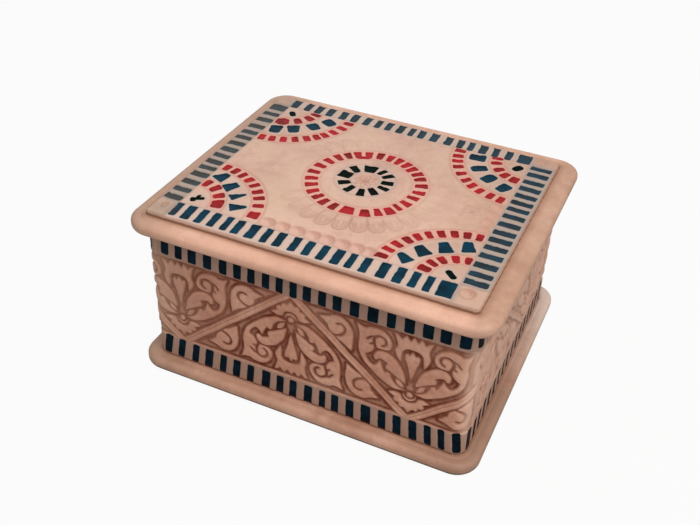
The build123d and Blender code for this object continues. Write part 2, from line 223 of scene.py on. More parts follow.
wood_along_x = wood("beech_along_x", (25, 700, 700))
wood_along_y = wood("beech_along_y", (700, 25, 700))
for board in ("base_board", "front_board", "back_board", "lid_board"):
    dress(board, wood_along_x)
for board in ("left_board", "right_board"):
    dress(board, wood_along_y)


# ---------------------------------------------------------------- the base's nails
# Six plain cut steel nails hold the walls to the base board from below.
# They are driven flush before the underside is covered.
nail_material, tree, shader, coords = start_material("cut_steel", 0.45, Metallic=1.0)
nail_greys = ((0.3, (0.20, 0.19, 0.18)), (0.7, (0.36, 0.35, 0.34)))
lead_into(shader, Base_Color=ramp(tree, noise(tree, coords, 900.0), nail_greys))
dress("base_nails", nail_material)


# ---------------------------------------------------------------- the leather over base and lid
# Each slab is a board inside natural calf leather, drawn round its edges and turned under.
# The leather is left its own pinkish tan, waxed, with a crease worked just inside the edge.
slab_width = 178.4
slab_depth = 151.4
slab_corner = 12.0
base_height = 7.2
rim_z = 82.0
lid_top = 88.8
cover_leather = 1.2
turned_leather = 0.9
body_width = 165.0
body_depth = 138.0
body_corner = 7.0
side_leather = 1.8
wall_thickness = 6.0
lining_thickness = 0.8


def rounded_loop(width, depth, corner, run_steps=90, bend_steps=14):
    """Points round a rounded rectangle: four straight runs, each ended by a quarter circle."""
    points = []
    for side in range(4):
        turn = side * pi / 2
        along = np.array((cos(turn), sin(turn)))
        out = np.array((sin(turn), -cos(turn)))
        length, reach = ((width, depth / 2), (depth, width / 2))[side % 2]
        straight = length / 2 - corner
        t = np.linspace(-1, 1, run_steps, endpoint=False)[:, None]
        points.append(out * reach + along * straight * t)
        angle = np.linspace(0, pi / 2, bend_steps, endpoint=False)[:, None]
        centre = out * (reach - corner) + along * straight
        points.append(centre + corner * (out * np.cos(angle) + along * np.sin(angle)))
    return np.concatenate(points)


def level(line, height):
    """Points of a line in plan, all at one height."""
    return np.column_stack((line, np.full(len(line), height)))


def grid_faces(index):
    """The four-sided faces between the rows and columns of a grid of point numbers."""
    corners = (index[:-1, :-1], index[:-1, 1:], index[1:, 1:], index[1:, :-1])
    return np.stack(corners, axis=-1).reshape(-1, 4).tolist()


def skin(name, points, faces):
    """A new object from points in mm and the faces between them."""
    mesh = bpy.data.meshes.new(name)
    mesh.from_pydata((points.reshape(-1, 3) * mm).tolist(), [], faces)
    return add_object(name, mesh)


def ring_surface(name, width, depth, corner, rows, closed):
    """A skin round a slab. Each row is a rounded rectangle, inset from the slab's edge, at a height.

    Rows run along the skin's section; a closed section joins its last row to its first, and an
    open one is closed by a flat face at each end."""
    least_corner = 0.3
    points = []
    for inset, height in rows:
        flat = rounded_loop(width - 2 * inset, depth - 2 * inset, max(corner - inset, least_corner))
        points.append(level(flat, height))
    points = np.array(points)
    index = np.arange(points.size // 3).reshape(points.shape[:2])
    ends = [] if closed else [index[0, ::-1].tolist(), index[-1].tolist()]
    if closed:
        index = np.vstack((index, index[:1]))
    return skin(name, points, grid_faces(np.hstack((index, index[:, :1]))) + ends)


def face_outwards(piece, sharp_degrees=35):
    """Recalculates the normals outwards and shades smooth, with edges sharper than the angle kept."""
    work = bmesh.new()
    work.from_mesh(piece.data)
    bmesh.ops.remove_doubles(work, verts=work.verts, dist=0.001 * mm)
    bmesh.ops.recalc_face_normals(work, faces=work.faces)
    work.to_mesh(piece.data)
    work.free()
    piece.data.shade_smooth()
    piece.data.set_sharp_from_angle(angle=radians(sharp_degrees))


def arc_rows(centre_inset, centre_height, across, up, start, end, steps):
    """Rows along part of an ellipse, angles in degrees from straight outwards towards up."""
    return [
        (centre_inset - across * cos(radians(a)), centre_height + up * sin(radians(a)))
        for a in np.linspace(start, end, steps)
    ]


edge_round = 2.9
edge_flat = 0.25
crease_inset = 4.6
crease_depth = 0.22
under_opening = (slab_width - body_width) / 2 + side_leather + wall_thickness + lining_thickness
core_edge = cover_leather + 0.05


def slab_edge(bottom, top, steps=9):
    """The outer edge of a covered slab: out along the underside, round, up, and round to the top,
    then down into the crease and up again."""
    lower = arc_rows(edge_round, bottom + edge_round, edge_round, edge_round, -90, 0, steps)
    upper = arc_rows(edge_round, top - edge_round, edge_round, edge_round - edge_flat, 0, 80, steps)
    shoulder = [
        (3.4, top - 0.30), (crease_inset - 0.7, top - 0.24),
        (crease_inset - 0.3, top - crease_depth - 0.1), (crease_inset, top - crease_depth - 0.14),
        (crease_inset + 0.35, top - crease_depth), (crease_inset + 0.8, top - 0.06),
        (crease_inset + 1.6, top),
    ]
    return lower + upper[1:] + shoulder


def grade(tree, value, start, end, low=0.0, high=1.0):
    """A value's range from start to end spread over low to high, and held beyond both ends."""
    return add_node(tree, "MapRange", {0: value, 1: start, 2: end, 3: low, 4: high}).outputs[0]


def between(tree, share, first, second):
    """A value part of the way, by a share from 0 to 1, from one to another."""
    return add_node(tree, "Mix", {0: share, 2: first, 3: second}, data_type="FLOAT").outputs[0]


def laid_over(tree, colour, *layers):
    """A colour under layers: each, a share from 0 to 1 and its colour, is mixed over the last."""
    for share, cover in layers:
        cover = cover if isinstance(cover, bpy.types.NodeSocket) else (*cover, 1)
        colour = add_node(tree, "Mix", {0: share, 6: colour, 7: cover}, data_type="RGBA").outputs[2]
    return colour


def painted(tree, attribute):
    """The value that a piece keeps at its points under this name."""
    return add_node(tree, "Attribute", attribute_name=attribute).outputs["Fac"]


def axes(tree, coords):
    """The X, Y and Z of a place, in metres."""
    return add_node(tree, "SeparateXYZ", {"Vector": coords}).outputs


def larger(tree, first, second):
    """The larger of two values."""
    return add_node(tree, "Math", {0: first, 1: second}, operation="MAXIMUM").outputs[0]


def leather_colour(tree, coords, tints, patch=26.0):
    """Mottled natural leather: three tints chosen by slow patches and finer clouds, with flecks
    of a deeper, redder shade of the first tint."""
    patches = noise(tree, coords, patch, 3.0, 0.6)
    clouds = noise(tree, coords, patch * 9, 4.0, 0.6)
    mottled = ramp(tree, between(tree, 0.38, patches, clouds), tuple(zip((0.37, 0.5, 0.63), tints)))
    flecks = grade(tree, noise(tree, coords, 700.0, 4.0, 0.7), 0.50, 0.72, 0.0, 0.35)
    red, green, blue = tints[0]
    return laid_over(tree, mottled, (flecks, (red * 0.80, green * 0.62, blue * 0.58)))


def leather_grain(tree, coords, pore_scale=1500.0):
    """Pores and fine creases: small cells, and over them folds from stretched noise, as a bump."""
    pore_depth, fold_depth = 0.05, 0.11
    pores = add_node(
        tree, "TexVoronoi", {"Vector": coords, "Scale": pore_scale}, feature="SMOOTH_F1"
    ).outputs["Distance"]
    folds = noise(tree, stretched(tree, coords, (1.0, 0.45, 1.0)), 420.0, 4.0, 0.6)
    fine = bump(tree, pores, pore_depth * mm, 0.7)
    return bump(tree, folds, fold_depth * mm, 0.8, fine)


cover_tints = ((0.60, 0.335, 0.225), (0.70, 0.405, 0.285), (0.77, 0.475, 0.345))
cover_material, tree, shader, coords = start_material("waxed_tan_leather", 0.46, Specular_IOR_Level=0.3)
across, along, height = axes(tree, coords)
on_lid = grade(tree, height, 0.045, 0.05)
on_base = grade(tree, height, 0.05, 0.045)
blotches = grade(tree, noise(tree, coords, 75.0, 4.0, 0.6), 0.50, 0.66, 0.0, 0.50)
lid_front_highlight = times(tree, grade(tree, along, -0.067, -0.071, 0.0, 0.36), on_lid)
left_shade = grade(tree, across, -0.055, -0.086, 0.0, 0.62)
lid_right_edge_shade = times(tree, grade(tree, across, 0.076, 0.081, 0.0, 0.38), on_lid)
base_right_sheen = times(
    tree, grade(tree, along, -0.01, 0.06, 0.08, 0.62), grade(tree, across, 0.078, 0.084), on_base
)
base_front_right_darker = times(
    tree, grade(tree, along, 0.018, -0.022, 0.0, 0.6), grade(tree, across, 0.050, 0.080), on_base
)
scuffs = times(tree, grade(tree, noise(tree, coords, 38.0, 4.0, 0.65), 0.50, 0.68, 0.0, 0.42), on_base)
floor_contact_shadow = grade(tree, height, 0.0030, 0.0021, 0.0, 0.85)
cover_wear_and_painted_light = laid_over(
    tree, leather_colour(tree, coords, cover_tints),
    (blotches, (0.52, 0.245, 0.165)),
    (times(tree, on_base, 0.40), (0.44, 0.245, 0.180)),  # painted shade over the whole base, as under the lid's overhang
    # painted highlight along the lid's front edge
    (lid_front_highlight, (0.93, 0.555, 0.425)),
    (larger(tree, left_shade, lid_right_edge_shade), (0.36, 0.235, 0.165)),  # painted shade towards the left of lid and base, and on the lid's right edge
    # painted sheen: the base's right edge paler towards the back
    (base_right_sheen, (0.80, 0.70, 0.62)),
    # the base darker towards its front right
    (base_front_right_darker, (0.24, 0.135, 0.085)),
    (scuffs, (0.38, 0.19, 0.125)),
    # painted shadow along the bottom of the base, where it meets the table
    (floor_contact_shadow, (0.07, 0.045, 0.035)),
    (painted(tree, "seat_shade_and_cut_edge"), (0.30, 0.13, 0.07)),  # painted shade: a dark line round where the walls and the lid's panel stand
)
gloss = ramp(tree, noise(tree, coords, 60.0), ((0.3, (0.40,) * 3), (0.7, (0.54,) * 3)))
lead_into(shader, Base_Color=cover_wear_and_painted_light, Roughness=gloss, Normal=leather_grain(tree, coords))


def store_at_points(mesh, name, values):
    """Keeps a value at each point of a mesh, for its material to read."""
    mesh.attributes.new(name, "FLOAT", "POINT").data.foreach_set("value", np.ravel(values))


def paint_seat_shade(piece, strength, edge_distance, least_height):
    """Paints shade on a cover where another piece stands on it: strength at that piece's edge,
    fading exponentially with the distance in mm outside it, and only above the least height."""
    fade = 0.7
    place = np.empty(len(piece.data.vertices) * 3)
    piece.data.vertices.foreach_get("co", place)
    place = place.reshape(-1, 3) / mm
    dark = strength * np.exp(-np.maximum(edge_distance(place), 0) / fade)
    store_at_points(piece.data, "seat_shade_and_cut_edge", dark * (place[:, 2] > least_height))


def outside_body(place):
    """Distance in mm from the walls' rounded outline, negative inside it."""
    past = np.abs(place[:, :2]) - np.array((body_width / 2 - body_corner, body_depth / 2 - body_corner))
    outer = np.linalg.norm(np.maximum(past, 0), axis=1)
    return outer + np.minimum(past.max(axis=1), 0) - body_corner


turned_under = 11.0
under_walls = 8.5
base_cover = ring_surface(
    "base_cover", slab_width, slab_depth, slab_corner,
    [(turned_under, 0.0)] + slab_edge(0.0, base_height)
    + [(under_walls, base_height), (under_walls, base_height - cover_leather)]
    + [(core_edge + 1.0, base_height - cover_leather), (core_edge, base_height - 2 * cover_leather)]
    + [(core_edge, 2 * cover_leather), (core_edge + 1.0, cover_leather), (turned_under, cover_leather)],
    closed=True,
)
face_outwards(base_cover)
paint_seat_shade(base_cover, 0.85, outside_body, base_height - 0.5)
base_cover.data.materials.append(cover_material)
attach(base_cover, "case")
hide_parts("base_cover")

flat_inset = 9.0
under_panel = 16.0
lid_inner_rows = [
    (under_panel, lid_top - cover_leather), (core_edge + 1.0, lid_top - cover_leather),
    (core_edge, lid_top - 2 * cover_leather), (core_edge, rim_z + turned_leather + 1.0),
    (core_edge + 1.0, rim_z + turned_leather), (under_opening, rim_z + turned_leather),
]
lid_outer_rows = (
    [(under_opening, rim_z), (flat_inset, rim_z)]
    + slab_edge(rim_z, lid_top)
    + [(flat_inset, lid_top), (under_panel, lid_top)]
)
lid_cover = ring_surface(
    "lid_cover", slab_width, slab_depth, slab_corner, lid_inner_rows + lid_outer_rows, closed=False
)


def object_of(name, forms):
    """A new object from a bmesh drawn in mm; the bmesh is used up."""
    bmesh.ops.scale(forms, vec=(mm, mm, mm), verts=forms.verts)
    mesh = bpy.data.meshes.new(name)
    forms.to_mesh(mesh)
    forms.free()
    return add_object(name, mesh)


def cut_away(piece, forms):
    """Cuts the closed forms of a bmesh, drawn in mm, out of a piece."""
    bmesh.ops.recalc_face_normals(forms, faces=forms.faces)
    cutter = object_of("cutter", forms)
    cut = piece.modifiers.new("cut", "BOOLEAN")
    cut.operation = "DIFFERENCE"
    cut.object = cutter
    cut.solver = "EXACT"
    cut.use_self = True
    ready = piece.evaluated_get(bpy.context.evaluated_depsgraph_get())
    mesh = bpy.data.meshes.new_from_object(ready)
    piece.modifiers.clear()
    piece.data = mesh
    bpy.data.objects.remove(cutter)


def add_box(forms, low, high):
    """Adds a box to a bmesh from its lowest and highest corners."""
    middle = (Vector(low) + Vector(high)) / 2
    size = Vector(high) - Vector(low)
    bmesh.ops.create_cube(forms, size=1, matrix=Matrix.Translation(middle) @ Matrix.Diagonal((*size, 1)))


hinge_x = 52.0
hinge_half = 10.0
axis_y = 71.1
leaf_reach = 9.3
barrel_room = 2.2
leaf_play = 0.2
barrel_play = 0.6
below_rim = rim_z - 0.3
hinge_room = bmesh.new()
for centre in (-hinge_x, hinge_x):
    leaf_room = hinge_half + leaf_play
    barrel_half = hinge_half + barrel_play
    add_box(
        hinge_room, (centre - leaf_room, axis_y - leaf_reach - leaf_play, below_rim),
        (centre + leaf_room, axis_y + leaf_play, rim_z + turned_leather),
    )
    add_box(
        hinge_room, (centre - barrel_half, axis_y - barrel_room, below_rim),
        (centre + barrel_half, axis_y + barrel_room, rim_z + barrel_room),
    )
face_outwards(lid_cover)
cut_away(lid_cover, hinge_room)
face_outwards(lid_cover)
panel_low = (-82.0, -67.6)
panel_high = (79.8, 67.4)


def outside_panel(place):
    """Distance in mm outwards from the tooled panel's edge."""
    past = np.maximum(np.array(panel_low) - place[:, :2], place[:, :2] - np.array(panel_high))
    return past.max(axis=1)


paint_seat_shade(lid_cover, 0.7, outside_panel, lid_top - 0.3)
lid_cover.data.materials.append(cover_material)
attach(lid_cover, "lid")
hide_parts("lid_cover")


# ---------------------------------------------------------------- the leather under the base
# A sheet of the same hide, suede side out, cut a little smaller than the base.
# It is glued over the cover's turned edges and the nail heads.
def sheet_rows(low, high, soft):
    """Section rows of a thin sheet whose edges are rounded by soft mm, from bottom to top."""
    lower = arc_rows(soft, low + soft, soft, soft, -90, 0, 4)
    upper = arc_rows(soft, high - soft, soft, soft, 0, 90, 4)
    return lower + upper


underlay_gap = 22.5
soft_edge = 0.25
underlay = ring_surface(
    "base_underlay", slab_width - underlay_gap, slab_depth - underlay_gap, body_corner - soft_edge,
    sheet_rows(0.0, cover_leather, soft_edge), closed=False,
)
face_outwards(underlay)
suede, tree, shader, coords = start_material("brown_suede", 0.92, Sheen_Weight=0.4)
suede_tints = ((0.20, 0.11, 0.07), (0.27, 0.16, 0.10), (0.34, 0.21, 0.14))
nap = bump(tree, noise(tree, coords, 2500.0), 0.15 * mm)
lead_into(shader, Base_Color=leather_colour(tree, coords, suede_tints, 40.0), Normal=nap)
underlay.data.materials.append(suede)
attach(underlay, "case")
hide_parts("base_underlay")


# ---------------------------------------------------------------- the tooled strip round the walls
# One thick strip of leather is carved flat, dyed, wrapped round the walls and turned over the rim.
# Swivel knife and beveller leave flat leaves above a stained ground; the dashes are sunk and dyed.
wrap_foot = base_height
frieze_foot = 20.4
frieze_height = 48.5
frieze_depth = 0.85
straight_x = body_width - 2 * body_corner
straight_y = body_depth - 2 * body_corner
bend_length = body_corner * pi / 2
girth = 2 * (straight_x + straight_y) + 4 * bend_length
half_period = girth / 10
first_vertex = 53.8
ribbon_half = 1.75
ribbon_overrun = 1.5
tool_width = 0.95

# Outlines in mm, right half of an upright palmette: across from its axis, up from the frieze's foot.
# Each outline is a list of curves that meet at corners; a curve of two points is straight.
side_leaf = [
    ((2.6, 15.3), (8.0, 14.9), (13.8, 17.8), (18.8, 21.7), (22.6, 25.4), (24.8, 29.8), (25.4, 34.8),
     (25.1, 40.4), (26.7, 46.0)),
    ((26.7, 46.0), (24.6, 45.0), (22.0, 44.7)),
    ((22.0, 44.7), (20.2, 45.8), (16.8, 46.1), (13.4, 45.0), (10.8, 42.0), (9.9, 38.6), (11.0, 36.1),
     (13.8, 35.2), (16.8, 35.2)),
    ((16.8, 35.2), (18.2, 34.4)),
    ((18.2, 34.4), (19.0, 32.6), (20.2, 31.2), (22.0, 30.2)),
    ((22.0, 30.2), (21.6, 28.1), (19.9, 25.6), (18.1, 24.7), (16.4, 25.9), (15.1, 28.3)),
    ((15.1, 28.3), (14.2, 26.2), (13.4, 24.2), (12.1, 22.2)),
    ((12.1, 22.2), (11.2, 23.2), (9.8, 22.7)),
    ((9.8, 22.7), (9.2, 20.6), (8.0, 18.4)),
    ((8.0, 18.4), (6.0, 16.8), (2.6, 15.3)),
]
volute_groove = [
    ((14.4, 37.0), (13.2, 37.8), (12.6, 39.4), (13.3, 41.2), (15.2, 42.2), (17.2, 41.6), (18.4, 40.0),
     (18.4, 37.8), (17.7, 35.6), (17.1, 33.6)),
]
volute_spur = [((17.4, 41.3), (19.7, 40.6), (21.5, 38.6))]
volute_notch = [((18.3, 37.7), (19.8, 36.3))]
inner_leaf = [
    ((2.5, 19.8), (3.0, 23.0), (4.4, 27.4), (7.4, 31.4), (11.6, 33.8), (15.4, 33.8), (17.8, 31.8),
     (18.1, 29.2)),
    ((18.1, 29.2), (16.9, 28.4), (15.2, 29.7), (13.2, 29.3), (11.2, 28.2)),
    ((11.2, 28.2), (12.0, 26.2), (11.2, 24.8)),
    ((11.2, 24.8), (9.2, 23.9), (6.6, 22.2), (2.5, 19.8)),
]
root_bud = [
    ((3.0, 16.6), (5.0, 17.3), (6.4, 18.6), (6.9, 20.9)),
    ((6.9, 20.9), (5.4, 20.6), (4.0, 19.3), (3.0, 16.6)),
]
corner_scroll = [
    ((28.7, 28.6), (28.3, 33.4), (28.3, 37.4), (29.1, 40.9), (31.1, 43.9), (34.2, 45.8), (37.8, 45.9),
     (41.0, 44.3), (44.8, 43.1)),
    ((44.8, 43.1), (42.8, 41.8), (41.9, 40.6)),
    ((41.9, 40.6), (40.9, 39.9), (40.4, 37.6)),
    ((40.4, 37.6), (39.0, 35.6), (36.8, 33.6)),
    ((36.8, 33.6), (32.0, 31.0), (28.7, 28.6)),
]
scroll_groove = [
    ((39.0, 34.4), (36.4, 34.7), (33.6, 36.2), (32.4, 38.4), (32.8, 40.6), (34.6, 41.8), (36.4, 41.5)),
]
crown = [
    ((-2.0, 5.6), (-1.2, 4.8), (0.0, 3.0)),
    ((0.0, 3.0), (1.2, 4.8), (2.0, 5.6)),
    ((2.0, 5.6), (3.6, 5.0)), ((3.6, 5.0), (4.5, 6.2), (4.5, 7.6)), ((4.5, 7.6), (6.9, 7.2)),
    ((6.9, 7.2), (7.3, 8.6), (6.7, 10.0)), ((6.7, 10.0), (9.8, 11.8)),
    ((9.8, 11.8), (7.0, 12.9), (4.4, 12.6), (3.6, 11.4), (2.6, 9.9), (0.0, 9.0), (-2.6, 9.9)),
    ((-2.6, 9.9), (-2.0, 5.6)),
]
bead = [
    ((0.0, 12.3), (1.0, 12.7), (1.4, 13.7), (1.0, 14.7), (0.0, 15.1), (-1.0, 14.7), (-1.4, 13.7),
     (-1.0, 12.7), (0.0, 12.3)),
]
bead_cup = [
    ((2.9, 13.4), (2.4, 11.6), (0.0, 10.2), (-2.4, 11.6), (-2.9, 13.4)),
    ((-2.9, 13.4), (-1.9, 12.2), (0.0, 11.3), (1.9, 12.2), (2.9, 13.4)),
]
bud = [
    ((0.0, 22.5), (0.9, 26.0), (1.9, 30.4), (3.0, 33.8), (3.3, 36.4), (2.3, 37.4)),
    ((2.3, 37.4), (1.5, 36.6)), ((1.5, 36.6), (0.0, 38.8)), ((0.0, 38.8), (-1.5, 36.6)),
    ((-1.5, 36.6), (-2.3, 37.4)), ((-2.3, 37.4), (0.0, 22.5)),
]
tulip = [
    ((-1.0, 40.4), (0.0, 40.4), (3.0, 39.8), (4.8, 37.8), (5.1, 34.4), (5.4, 31.6)),
    ((5.4, 31.6), (7.2, 34.4), (8.0, 37.6), (7.1, 40.6), (7.6, 43.6), (8.7, 46.8)),
    ((8.7, 46.8), (6.8, 46.0), (5.6, 44.7)), ((5.6, 44.7), (3.5, 47.4)), ((3.5, 47.4), (1.8, 44.9)),
    ((1.8, 44.9), (0.0, 47.3)), ((0.0, 47.3), (-1.0, 45.6)), ((-1.0, 45.6), (-1.0, 40.4)),
]


def smooth_curve(points, steps=5):
    """A Catmull-Rom curve: a cubic between neighbours, its slope at each point half of the chord
    from the point before to the point after."""
    points = np.array(points, float)
    if len(points) == 2:
        return points
    ends = np.vstack((2 * points[0] - points[1], points, 2 * points[-1] - points[-2]))
    before, here, there, after = (ends[k:len(ends) - 3 + k, None] for k in range(4))
    t = np.linspace(0, 1, steps, endpoint=False)[None, :, None]
    curve = here + 0.5 * t * (there - before + t * (
        2 * before - 5 * here + 4 * there - after + t * (3 * (here - there) + after - before)
    ))
    return np.vstack((curve.reshape(-1, 2), points[-1:]))


def inside_distance(x, y, outline):
    """Distance in mm to a closed outline, positive inside: the nearest edge gives the size, and
    the parity of the edges crossed by a ray gives the sign."""
    corners = np.vstack([smooth_curve(curve)[:-1] for curve in outline])
    inside = np.zeros(x.shape, bool)
    for start, end in zip(corners, np.roll(corners, -1, axis=0)):
        if start[1] != end[1]:
            level = (start[1] > y) != (end[1] > y)
            inside ^= level & (x < start[0] + (y - start[1]) * (end[0] - start[0]) / (end[1] - start[1]))
    return np.where(inside, 1, -1) * line_distance(x, y, np.vstack((corners, corners[:1])))


def line_distance(x, y, points):
    """Distance in mm to a chain of straight edges: the least over all of them."""
    nearest = np.full(x.shape, np.inf)
    for start, end in zip(points[:-1], points[1:]):
        run = end - start
        t = np.clip(((x - start[0]) * run[0] + (y - start[1]) * run[1]) / max(run @ run, 1e-9), 0, 1)
        nearest = np.minimum(nearest, (x - start[0] - t * run[0]) ** 2 + (y - start[1] - t * run[1]) ** 2)
    return np.sqrt(nearest)


# The ornament is worked out once on a fine chart of half a palmette and read from it everywhere.
chart_step = 0.15
chart_margin = 2.5
chart_x = np.arange(-chart_step, half_period + chart_margin, chart_step)
chart_y = np.arange(-chart_margin, frieze_height + chart_margin, chart_step)
chart = np.full((len(chart_y), len(chart_x)), -chart_margin)


def chart_window(curves):
    """The part of the chart round some curves: its slices and its places in mm."""
    spots = np.vstack([np.array(curve) for curve in curves])
    left, low = spots.min(axis=0) - chart_margin
    right, high = spots.max(axis=0) + chart_margin
    columns = slice(*np.searchsorted(chart_x, (left, right)))
    rows = slice(*np.searchsorted(chart_y, (low, high)))
    return (rows, columns), *np.meshgrid(chart_x[columns], chart_y[rows])


for outline in (side_leaf, inner_leaf, root_bud, corner_scroll, crown, bead, bead_cup, bud, tulip):
    window, grid_x, grid_y = chart_window(outline)
    chart[window] = np.maximum(chart[window], inside_distance(grid_x, grid_y, outline))
cut_lines = ((volute_groove, 0.78), (volute_spur, 0.6), (volute_notch, 0.55), (scroll_groove, 0.72))
for groove, half_width in cut_lines:
    window, grid_x, grid_y = chart_window(groove)
    gap = line_distance(grid_x, grid_y, smooth_curve(groove[0])) - half_width
    chart[window] = np.minimum(chart[window], gap)


def read_chart(x, y):
    """The chart's value at each place, by weighting its four nearest points."""
    column = np.clip((x - chart_x[0]) / chart_step, 0, len(chart_x) - 1.001)
    row = np.clip((y - chart_y[0]) / chart_step, 0, len(chart_y) - 1.001)
    c, r = column.astype(int), row.astype(int)
    u, v = column - c, row - r
    lower = chart[r, c] * (1 - u) + chart[r, c + 1] * u
    upper = chart[r + 1, c] * (1 - u) + chart[r + 1, c + 1] * u
    return lower * (1 - v) + upper * v


def carved_edge(s, z):
    """How far a place on the strip lies inside the nearest raised form, in mm, negative on the
    ground between. Each half period holds an upright and an upside-down half palmette, one on
    each side of the slanting ribbon."""
    turns = (s - first_vertex) / half_period
    step = np.floor(turns)
    along = turns - step
    from_foot = np.where(step % 2 == 0, along, 1 - along) * half_period
    up = z - frieze_foot
    rise = (frieze_height + 2 * ribbon_overrun) / half_period
    above = (up + ribbon_overrun - rise * from_foot) / np.hypot(1, rise)
    x = np.where(above > 0, from_foot, half_period - from_foot)
    y = np.where(above > 0, up, frieze_height - up)
    leaves = np.minimum(read_chart(x, y), np.abs(above) - ribbon_half - tool_width)
    line_offset, line_half, line_floor = 0.6, 0.02, 0.14
    ribbon_line = np.maximum(np.abs(above - line_offset) - line_half, line_floor)
    ribbon = np.minimum(ribbon_half - np.abs(above), ribbon_line)
    ends = np.maximum(frieze_foot - z, z - frieze_foot - frieze_height)
    return np.maximum(np.maximum(leaves, ribbon), ends)


# The dyed dashes, as (place, width): listed one by one on the front, evenly with a little drift elsewhere.
front_top_dashes = (
    (-80.6, 4.0), (-71.0, 4.2), (-63.5, 3.8), (-56.3, 4.5), (-48.1, 4.4), (-39.9, 4.1), (-32.4, 4.0),
    (-25.2, 3.8), (-17.8, 3.8), (-10.9, 3.6), (-4.0, 3.7), (2.8, 4.0), (10.2, 3.8), (17.4, 4.3),
    (25.7, 4.5), (34.4, 5.0), (42.9, 4.1), (51.2, 4.7), (59.6, 5.0), (67.5, 5.0), (76.1, 5.2),
)
front_low_dashes = (
    (-74.7, 4.4), (-67.0, 3.8), (-58.9, 3.8), (-51.2, 4.5), (-43.1, 3.7), (-35.5, 4.1), (-27.8, 3.8),
    (-19.2, 4.6), (-11.5, 3.9), (-4.5, 3.9), (3.6, 4.4), (11.1, 3.3), (17.7, 3.8), (25.4, 4.1),
    (33.6, 5.0), (41.8, 3.9), (49.3, 4.1), (57.1, 4.0), (64.4, 3.5), (71.0, 3.3), (78.4, 4.2),
)
dash_sink = 0.35
chance = np.random.default_rng(7)


def dash_band(front, low, high, bow_low, bow_high, fan_out):
    """A band of dashes: the front's own, then even ones round the other walls back to the first.
    The front's lean apart towards its ends by fan_out to the mm."""
    usual_pitch = 7.6
    places, widths = np.array(front).T
    gap = places[0] + girth - places[-1]
    count = int(round(gap / usual_pitch))
    rest = places[-1] + gap * np.arange(1, count) / count + chance.uniform(-0.35, 0.35, count - 1)
    return {
        "centres": np.concatenate((places, rest)),
        "halves": np.concatenate((widths, chance.uniform(3.8, 4.6, count - 1))) / 2,
        "leans": np.concatenate((0.04 - fan_out * places, chance.uniform(-0.03, 0.05, count - 1))),
        "low": low, "high": high, "bow_low": bow_low, "bow_high": bow_high,
    }


dash_bands = (
    dash_band(front_top_dashes, low=68.6, high=80.8, bow_low=2.3, bow_high=0.0, fan_out=0.0006),
    dash_band(front_low_dashes, low=7.0, high=18.3, bow_low=0.9, bow_high=2.2, fan_out=0.0020),
)


def bowed(s, amount):
    """A slow rise towards the ends of each wall, as a strip stretched round corners has: the
    amount times the square of the way from the wall's middle to its end."""
    long_wall = straight_x + bend_length
    short_wall = straight_y + bend_length
    wall = np.mod(np.mod(s + straight_x / 2 + bend_length / 2, girth), girth / 2)
    middle = np.where(wall < long_wall, long_wall / 2, long_wall + short_wall / 2)
    reach = np.where(wall < long_wall, long_wall / 2, short_wall / 2)
    return amount * ((wall - middle) / reach) ** 2


def dash_edge(s, z, band):
    """How far a place lies inside the nearest dash of a band, in mm: a box with round corners."""
    dash_corner = 1.0
    half_pitch = 4
    first = band["centres"][0]
    around = first - half_pitch + np.mod(s - first + half_pitch, girth)
    centres, halves, leans = (
        np.append(band[key], band[key][0] + again)
        for key, again in (("centres", girth), ("halves", 0), ("leans", 0))
    )
    index = np.searchsorted((centres[1:] + centres[:-1]) / 2, around)
    low = band["low"] + bowed(s, band["bow_low"])
    high = band["high"] + bowed(s, band["bow_high"])
    middle = (low + high) / 2
    across = np.abs(around - centres[index] - leans[index] * (z - middle)) - halves[index] + dash_corner
    up = np.abs(z - middle) - (high - low) / 2 + dash_corner
    outside = np.hypot(np.maximum(across, 0), np.maximum(up, 0))
    return dash_corner - outside - np.minimum(np.maximum(across, up), 0)


def step_up(distance, width):
    """A smooth step from 0 to 1 as distance goes from minus to plus half the width."""
    t = np.clip(distance / width + 0.5, 0, 1)
    return t * t * (3 - 2 * t)


def wander(s, z):
    """Small slow drifts in mm of a hand-cut line, from three sine waves."""
    return 0.22 * np.sin(0.31 * s + 0.9 * np.sin(0.19 * z)) + 0.12 * np.sin(0.83 * z + 0.5 * s)


def wrap_relief(s, z):
    """Height of the strip's face in mm, nought on the leaves, and its two pattern distances: a
    step down to the ground, a rounded shoulder on each leaf, a swell where the beveller's push
    ends, and the sunk dashes with the leather pulled down round them."""
    bevel_width, shoulder_drop, shoulder_reach = 0.75, 0.24, 0.75
    swell_height, swell_start, swell_width = 0.22, 1.0, 1.6
    dash_bevel, pillow_drop, pillow_reach = 0.5, 0.10, 0.7
    carved = carved_edge(s + 0.6 * wander(s, z), z + 0.5 * wander(z + 40, s))
    dyed = np.maximum(dash_edge(s, z, dash_bands[0]), dash_edge(s, z, dash_bands[1]))
    ground = frieze_depth * (1 - step_up(carved, bevel_width))
    shoulder = shoulder_drop * np.exp(-np.maximum(carved, 0) / shoulder_reach)
    ground_swell = swell_height * step_up(-carved - swell_start, swell_width)
    sunk = dash_sink * step_up(dyed, dash_bevel)
    pillow = pillow_drop * np.exp(-np.maximum(-dyed, 0) / pillow_reach)
    face = -ground - shoulder * (ground < 0.5 * frieze_depth) + ground_swell - sunk - pillow
    return face, carved, dyed


